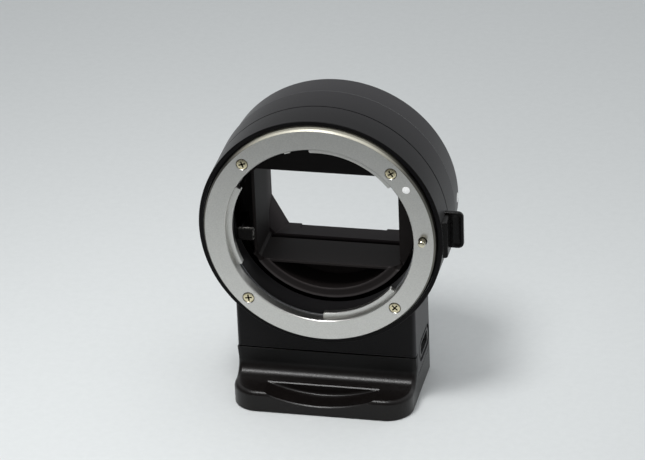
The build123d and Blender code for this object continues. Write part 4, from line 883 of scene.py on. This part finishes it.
# %% Rear mask
MASK_D, MASK_END, MASK_R, MASK_X, RELIEF = 23.5, 29.5, 23.5, 18.5, 2.5
WINDOW = [(2.0, 2.2, MASK_D - 0.1), (2.0, 2.2, MASK_D + 0.1), (3.0, 5.6, SEAT_D), (4.2, 7.9, MASK_END + 0.1)]
mask = skin("rear_mask_moulded", [plug([(MASK_R, SEAT_D - 0.8), (MASK_R, SEAT_D)])])
mask_wall = clipped(MASK_X + TUNNEL_WALL, TUNNEL_Z + TUNNEL_WALL, 3.2, 6.0)
mask_plate = clipped(MASK_X + TUNNEL_WALL, TUNNEL_Z + TUNNEL_WALL, 0.9, 0.9)
carve(mask, [column(mask_wall, round_edges(MASK_D, MASK_END, 0.12), in_face),
             column(mask_plate, straight(MASK_D + 0.02, SEAT_D - 0.1), in_face)], "UNION")
carve(mask, [
    np.stack([in_face(*clipped(MASK_X, TUNNEL_Z, cut_x, cut_z, 0.2).T, d) for cut_x, cut_z, d in WINDOW]),
    column(oblong(11.0, TUNNEL_Z + 0.35, 0.2), straight(MASK_END - RELIEF, MASK_END + 1), in_face),
])
dress(mask, "housing", "baffle_plastic", "rear_mask")

# %% [markdown]
# ## Aperture ring
# A blackened steel ring turns round the cup and carries a link with a paddle, which pushes the
# aperture lever of a lens. Twelve teeth on its rim mesh with the motor's pinion. The paddle's edges
# are rounded by stations, because the light from above shows them as a pale line in the dark throat.

# %% Aperture ring with teeth, link and paddle
RING_IN, RING_ROOT, RING_TIP, RING_D, RING_END = 22.26, 23.92, 24.52, 10.8, 12.4
RING_TEETH, PADDLE_Z, PADDLE_D = 162, -2.7, 3.9
ROOT_HALF, TIP_HALF, TOOTH_STEPS = 0.264, 0.094, range(-2, 10)
ring_rim = rounded([(RING_IN, RING_D), (RING_ROOT, RING_D), (RING_ROOT, RING_END), (RING_IN, RING_END)],
                   0.08, steps=2)
aperture = skin("aperture_ring_stamped", [turned_ring(ring_rim)], loop=True)
tooth = np.array([(RING_ROOT - 0.2, -ROOT_HALF), (RING_ROOT, -ROOT_HALF), (RING_TIP, -TIP_HALF),
                  (RING_TIP, TIP_HALF), (RING_ROOT, ROOT_HALF), (RING_ROOT - 0.2, ROOT_HALF)])
tooth_turns = [MOTOR_TURN + step * 360 / RING_TEETH for step in TOOTH_STEPS]
carve(aperture, [column(spun_outline(tooth, turn), straight(RING_D + 0.02, RING_END - 0.02), in_face)
                 for turn in tooth_turns], "UNION")
link_foot = oblong(1.23, 1.6, 0.1, (-21.53, PADDLE_Z), steps=2)
link = oblong(0.6, 1.6, 0.15, (-21.0, PADDLE_Z), steps=3)
paddle = oblong(2.25, 1.8, 0.85, (-19.35, PADDLE_Z), steps=10)
carve(aperture, [
    column(link_foot, straight(RING_D + 0.01, RING_END - 0.01), in_face),
    column(link, straight(PADDLE_D + 0.2, RING_END - 0.02), in_face),
    column(paddle, round_edges(PADDLE_D, PADDLE_D + 0.8, 0.3, 6), in_face),
], "UNION")
dress(aperture, "aperture", "black_steel", "aperture_ring")

# %% [markdown]
# ## Rear bayonet
# The camera side has the same turned chrome, but male: a tube stands out of the ring with three
# lugs on it. It is made exactly as the front ring is.

# %% Rear ring with its lugs
MOUNT_D, TUBE_OUT, TUBE_IN, TUBE_END = 28.5, 22.9, 21.6, 33.3
rear_profile = rounded(
    [(TUBE_IN, SEAT_D), (REAR_FLANGE_R, SEAT_D), (REAR_FLANGE_R, MOUNT_D - BEVEL),
     (REAR_FLANGE_R - BEVEL, MOUNT_D),
     (TUBE_OUT, MOUNT_D), (TUBE_OUT, TUBE_END - BEVEL), (TUBE_OUT - BEVEL, TUBE_END), (TUBE_IN, TUBE_END)],
    [0.08, 0.08, 0.08, 0.08, 0.15, 0.08, 0.08, 0.1], steps=3)
rear_ring = skin("rear_flange_turned", [turned_ring(rear_profile)], loop=True)
LUG_R, LUG_FRONT, LUG_BACK, LUG_SPANS = 24.5, 30.2, 31.8, [(35, 85), (155, 205), (275, 325)]
lug_edge = round_edges(LUG_FRONT, LUG_BACK, 0.15)
carve(rear_ring, [column(sector(TUBE_OUT - 0.4, LUG_R, first, last, 0.3), lug_edge, in_face)
                  for first, last in LUG_SPANS], "UNION")
lock_slot = oblong(1.3, 1.8, 1.29, at_turn(SCREW_CIRCLE, 0))
rear_sink = [(HEAD_R + 0.15, MOUNT_D + 0.1), (HEAD_R + 0.05, MOUNT_D), (SHANK_HOLE, MOUNT_D - 0.75),
             (SHANK_HOLE, SEAT_D - 1)]
carve(rear_ring, [plug(rear_sink, at_turn(SCREW_CIRCLE, turn), 48) for turn in SCREW_TURNS])
carve(rear_ring, [column(lock_slot, [(0, MOUNT_D - 1.5), (0, MOUNT_D - 0.1), (-0.2, MOUNT_D + 0.1)], in_face)])
dress(rear_ring, "housing", "satin_chrome", "rear_flange")
rear_screws = screw_group("rear_flange_screw_set", front_spots, MOUNT_D - HEAD_SUNK, -1, HEAD_R, SHANK_R,
                          SCREW_LONG, (12, 40, 25, 5))
dress(rear_screws, "housing", "pin_steel", "rear_flange_screws")

# %% [markdown]
# ## Foot shoe
# The foot is one casting: a base, an upstand under the seam and a toe that reaches forward under
# the lens. A side profile is extruded across and trimmed to the plan outline; a Bevel modifier then
# rounds only the marked edges. Last, the hollow for the lens barrel is turned out of the toe.

# %% Foot shoe
TOE_D, TOE_Z, TOE_SWEEP, TOE_CORNER, TOE_EDGE = -7.3, 5.5, 3.2, 6.5, 1.2
UPSTAND_Z, SEAM_CHAMFER = 12.25, 0.04
plan = rounded([(BLOCK_X, TOE_D), (BLOCK_X, BLOCK_REAR), (-BLOCK_X, BLOCK_REAR), (-BLOCK_X, TOE_D)],
               [TOE_CORNER, BLOCK_CORNER, BLOCK_CORNER, TOE_CORNER], steps=20)
shoe = skin("foot_shoe_cast", [column(plan, [(0.25, 0), (0, 0.25), (0, UPSTAND_Z)], in_plan)])
side = rounded(
    [(TOE_D - 1, -1), (TOE_D - 1, TOE_Z), (BLOCK_FRONT, TOE_Z), (BLOCK_FRONT, UPSTAND_Z - SEAM_CHAMFER),
     (BLOCK_FRONT + SEAM_CHAMFER, UPSTAND_Z), (UPSTAND_BACK, UPSTAND_Z), (UPSTAND_BACK, BASE_T),
     (BLOCK_REAR + 1, BASE_T), (BLOCK_REAR + 1, -1)],
    [0.1, 0.1, TOE_SWEEP, 0.01, 0.01, 0.05, 0.05, 0.1, 0.1], steps=12)
carve(shoe, [column(side, straight(-BLOCK_X - 1, BLOCK_X + 1), on_side)], "INTERSECT")
print("shoe faces", len(shoe.data.polygons))

# %% [markdown]
# ## Edge of the toe
# One generous round runs down the upstand and round the top of the toe. Edges are picked by where
# their middles lie, given a bevel weight, and rounded by a Bevel modifier. Close points are welded
# first, because a bevel can be no wider than the shortest edge beside it.

# %% Rounded edge of the toe
join = shoe.modifiers.new("join_close_points", "WELD")
join.merge_threshold = 0.02 * MM
settle(shoe)
shape = shoe.data
ends = np.zeros(len(shape.edges) * 2, int)
shape.edges.foreach_get("vertices", ends)
spots = np.zeros(len(shape.vertices) * 3)
shape.vertices.foreach_get("co", spots)
spots = spots.reshape(-1, 3)[ends.reshape(-1, 2)] / MM
middle = spots.mean(1)
depth = middle[:, 1] + SOCKET_D
on_outline = (np.abs(middle[:, 0]) > BLOCK_X - TOE_CORNER) | (depth < TOE_D + 0.01)
near_top = (middle[:, 2] > TOE_Z - 0.01) & (middle[:, 2] < UPSTAND_Z - SEAM_CHAMFER - 0.02)
near_top &= depth < BLOCK_FRONT + 0.01
across = np.abs(spots[:, 0, 0] - spots[:, 1, 0]) > 2 * BLOCK_X - 2 * TOE_CORNER - 1
marked = near_top & on_outline & ~(across & (depth > TOE_D + 0.01))
weights = shape.attributes.new("bevel_weight_edge", "FLOAT", "EDGE")
weights.data.foreach_set("value", marked.astype(np.float32))
soften = shoe.modifiers.new("toe_edge", "BEVEL")
soften.limit_method = "WEIGHT"
soften.width = TOE_EDGE * MM
soften.segments = 8
soften.use_clamp_overlap = False
settle(shoe)
print("marked edges", int(marked.sum()), "faces", len(shoe.data.polygons))

# %% [markdown]
# ## Hollow of the toe
# The toe is hollowed where a lens barrel passes over it. A turned plug as wide as the barrel cuts it,
# with a rounded inner end and a flared lip at the front, which catch the light from above.

# %% Hollow for the lens, bush seat and screw holes
LENS_R, LENS_D, LENS_SAG, LENS_ROUND = 38.0, -1.4, 2.75, 0.7
LENS_Z = TOE_Z - LENS_SAG + LENS_R
turn = np.linspace(0, math.pi / 2, 6)
cut_round = np.stack([LENS_R - LENS_ROUND * (1 - np.cos(turn)), LENS_D - LENS_ROUND * (1 - np.sin(turn))], -1)
lip = [(LENS_R + 2.2, TOE_D - 2.56), (LENS_R + 0.2, TOE_D), (LENS_R, TOE_D + 0.26)]
carve(shoe, [plug(np.vstack([lip, cut_round]), (0, LENS_Z - AXIS_MM), 720)])
CHORD, EASE, EASE_BACK = math.sqrt(LENS_R ** 2 - (LENS_Z - TOE_Z) ** 2), 0.2, 0.26
ease = np.array([(LENS_D - 0.3, TOE_Z + 0.3), (LENS_D - 0.3, TOE_Z - EASE - 0.23), (LENS_D, TOE_Z - EASE),
                 (LENS_D + EASE_BACK, TOE_Z), (LENS_D + EASE_BACK, TOE_Z + 0.3)])
carve(shoe, [column(ease, straight(-CHORD, CHORD), on_side)])
BUSH_R, STANDOFF_LOW, STANDOFF_TOP = 5.0, 5.6, 8.2
foot_sink = [(1.95, -0.4), (1.95, 0.2), (1.05, 1.3), (1.05, 10)]
carve(shoe, [upright([(POST_R, STANDOFF_LOW), (POST_R, STANDOFF_TOP)], x, d) for x, d in posts], "UNION")
carve(shoe, [upright([(BUSH_R, -1), (BUSH_R, BASE_T + 0.05)], 0, SOCKET_D, 72)])
carve(shoe, [upright(foot_sink, x, d, 40) for x, d in posts])
dress(shoe, "housing", "foot_black", "foot_shoe")

# %% [markdown]
# ## Tripod bush
# The thread is one helical ridge: the wall's radius depends on the height and on the angle, so that
# the ridge climbs one pitch for each turn. A grid of angle and height gives it in one step.

# %% Threaded bush
THREAD_R, THREAD_DEEP, PITCH, FADE, AROUND = 3.175, 0.55, 1.27, 0.8, 72
BUSH_OUT, BUSH_EASE, MOUTH_R = BUSH_R - 0.02, BUSH_R - 0.15, THREAD_R + 0.15
angle = circle(AROUND)
height = np.linspace(0.05, BASE_T - 0.05, 97)
phase = (height[:, None] / PITCH - angle[None] / (2 * math.pi)) % 1
fade = np.clip(np.minimum(height, BASE_T - height) / FADE, 0, 1)[:, None]
wall = THREAD_R - THREAD_DEEP * fade * np.clip(1.15 - np.abs(phase - 0.5) * 3, 0, 1)
inner = in_plan(wall * np.cos(angle), SOCKET_D + wall * np.sin(angle), height[:, None])
outer = upright([(MOUTH_R, BASE_T), (BUSH_EASE, BASE_T), (BUSH_OUT, BASE_T - 0.1), (BUSH_OUT, 0.1),
                 (BUSH_EASE, 0), (MOUTH_R, 0)], 0, SOCKET_D, AROUND)
bush = skin("tripod_bush_threaded", [np.concatenate([inner, outer])], loop=True)
dress(bush, "housing", "bush_steel", "tripod_bush")

# %% [markdown]
# ## Floor
# The object stands on a sheet of pale paper. In front the room is dim, and glossy black paint shows
# that, so the paper is darkened there for glossy rays only: its own look and the shadow stay.

# %% Floor
FLOOR_HALF, DIM_START, DIM_FULL, DIM = 3.0, -37, -192, 0.8
corners = np.array([(-1, -1, 0), (1, -1, 0), (1, 1, 0), (-1, 1, 0)]) * FLOOR_HALF
floor_mesh = bpy.data.meshes.new("floor")
floor_mesh.from_pydata(corners.tolist(), [], [(0, 1, 2, 3)])
floor = bpy.data.objects.new("floor", floor_mesh)
bpy.context.scene.collection.objects.link(floor)
paper, tree, shader, coords = new_finish("pale_paper", Specular_IOR_Level=0.1)
grainy(tree, shader, coords, 2.0, "#d9dcdc", "#dcdfdf", (0.85, 0.9), 0.002)
far, = masks(tree, measures(tree, coords), ("depth", DIM_START, DIM_FULL, DIM))
overlay(tree, shader, ("#303131", far, add(tree, "LightPath", {}, {}).outputs["Is Glossy Ray"]))
floor_mesh.materials.append(paper)
print("floor", 2 * FLOOR_HALF, "m wide")

# %% [markdown]
# ## Light
# A soft lamp hangs over the object and a weak broad one fills its front, without a mirror image of
# its own. The sky is a grey that brightens towards one side, by the angle to that side, so that a
# colour renders about as it is written.

# %% Light
BRIGHT_SIDE, DARK, PALE = (0.3, 0.5, 0.81), 0.1, 0.88
world = bpy.data.worlds.new("soft_room")
bpy.context.scene.world = world
world.use_nodes = True
sky = world.node_tree
toward = add(sky, "TexCoord", {}, {}).outputs["Generated"]
facing = add(sky, "VectorMath", {"operation": "DOT_PRODUCT"}, {0: toward, 1: BRIGHT_SIDE}).outputs["Value"]
glow = add(sky, "MapRange", {}, {"Value": facing, "From Min": -0.1, "From Max": 0.95,
                                 "To Min": DARK, "To Max": PALE})
sky.links.new(glow.outputs["Result"], sky.nodes["Background"].inputs["Strength"])
sky.nodes["Background"].inputs["Color"].default_value = hex_linear("#fbfdff")


def soft_lamp(name, place, target, size, power, beam):
    """A square area lamp that looks from its place at a target, its beam narrowed to some degrees."""
    data = bpy.data.lights.new(name, "AREA")
    data.shape = "SQUARE"
    data.size = size
    data.energy = power
    data.spread = math.radians(beam)
    lamp = bpy.data.objects.new(name, data)
    aim = (Vector(target) - Vector(place)).to_track_quat("-Z", "Y")
    lamp.matrix_world = Matrix.Translation(place) @ aim.to_matrix().to_4x4()
    bpy.context.scene.collection.objects.link(lamp)
    return lamp


soft_lamp("overhead_softbox", (-0.09, -0.155, 0.5), (-0.03, -0.025, 0.0), 0.15, 0.178, 60)
fill = soft_lamp("front_fill", (-0.05, -0.62, 0.26), (0.0, 0.0, 0.045), 0.4, 0.4, 120)
fill.visible_glossy = False
print("lamps", len(bpy.data.lights))

# %% [markdown]
# ## Camera
# The camera stands where the picture was taken from: its place and turn come from lines measured on
# the picture, and its focal length from how much they converge.

# %% Camera
EYE = (0.18222, -0.79090, 0.46972)
TURN, RISE, ROLL = math.radians(13.03), math.radians(27.66), math.radians(-2.28)
FOCAL_PX, PICTURE_W = 3724.0, 645.0
right = np.array([math.cos(TURN), math.sin(TURN), 0])
up = np.array([-math.sin(TURN) * math.sin(RISE), math.cos(TURN) * math.sin(RISE), math.cos(RISE)])
back = np.array([math.sin(TURN) * math.cos(RISE), -math.cos(TURN) * math.cos(RISE), math.sin(RISE)])
columns = [math.cos(ROLL) * right + math.sin(ROLL) * up, -math.sin(ROLL) * right + math.cos(ROLL) * up, back]
pose = np.eye(4)
pose[:3, :3] = np.array(columns).T
pose[:3, 3] = EYE
lens = bpy.data.cameras.new("camera")
lens.sensor_width = 36.0
lens.lens = FOCAL_PX / PICTURE_W * lens.sensor_width
camera = bpy.data.objects.new("camera", lens)
camera.matrix_world = Matrix(pose.tolist())
bpy.context.scene.collection.objects.link(camera)
bpy.context.scene.camera = camera
bpy.context.scene.view_settings.view_transform = "Standard"
print("focal length", round(lens.lens, 1), "mm")
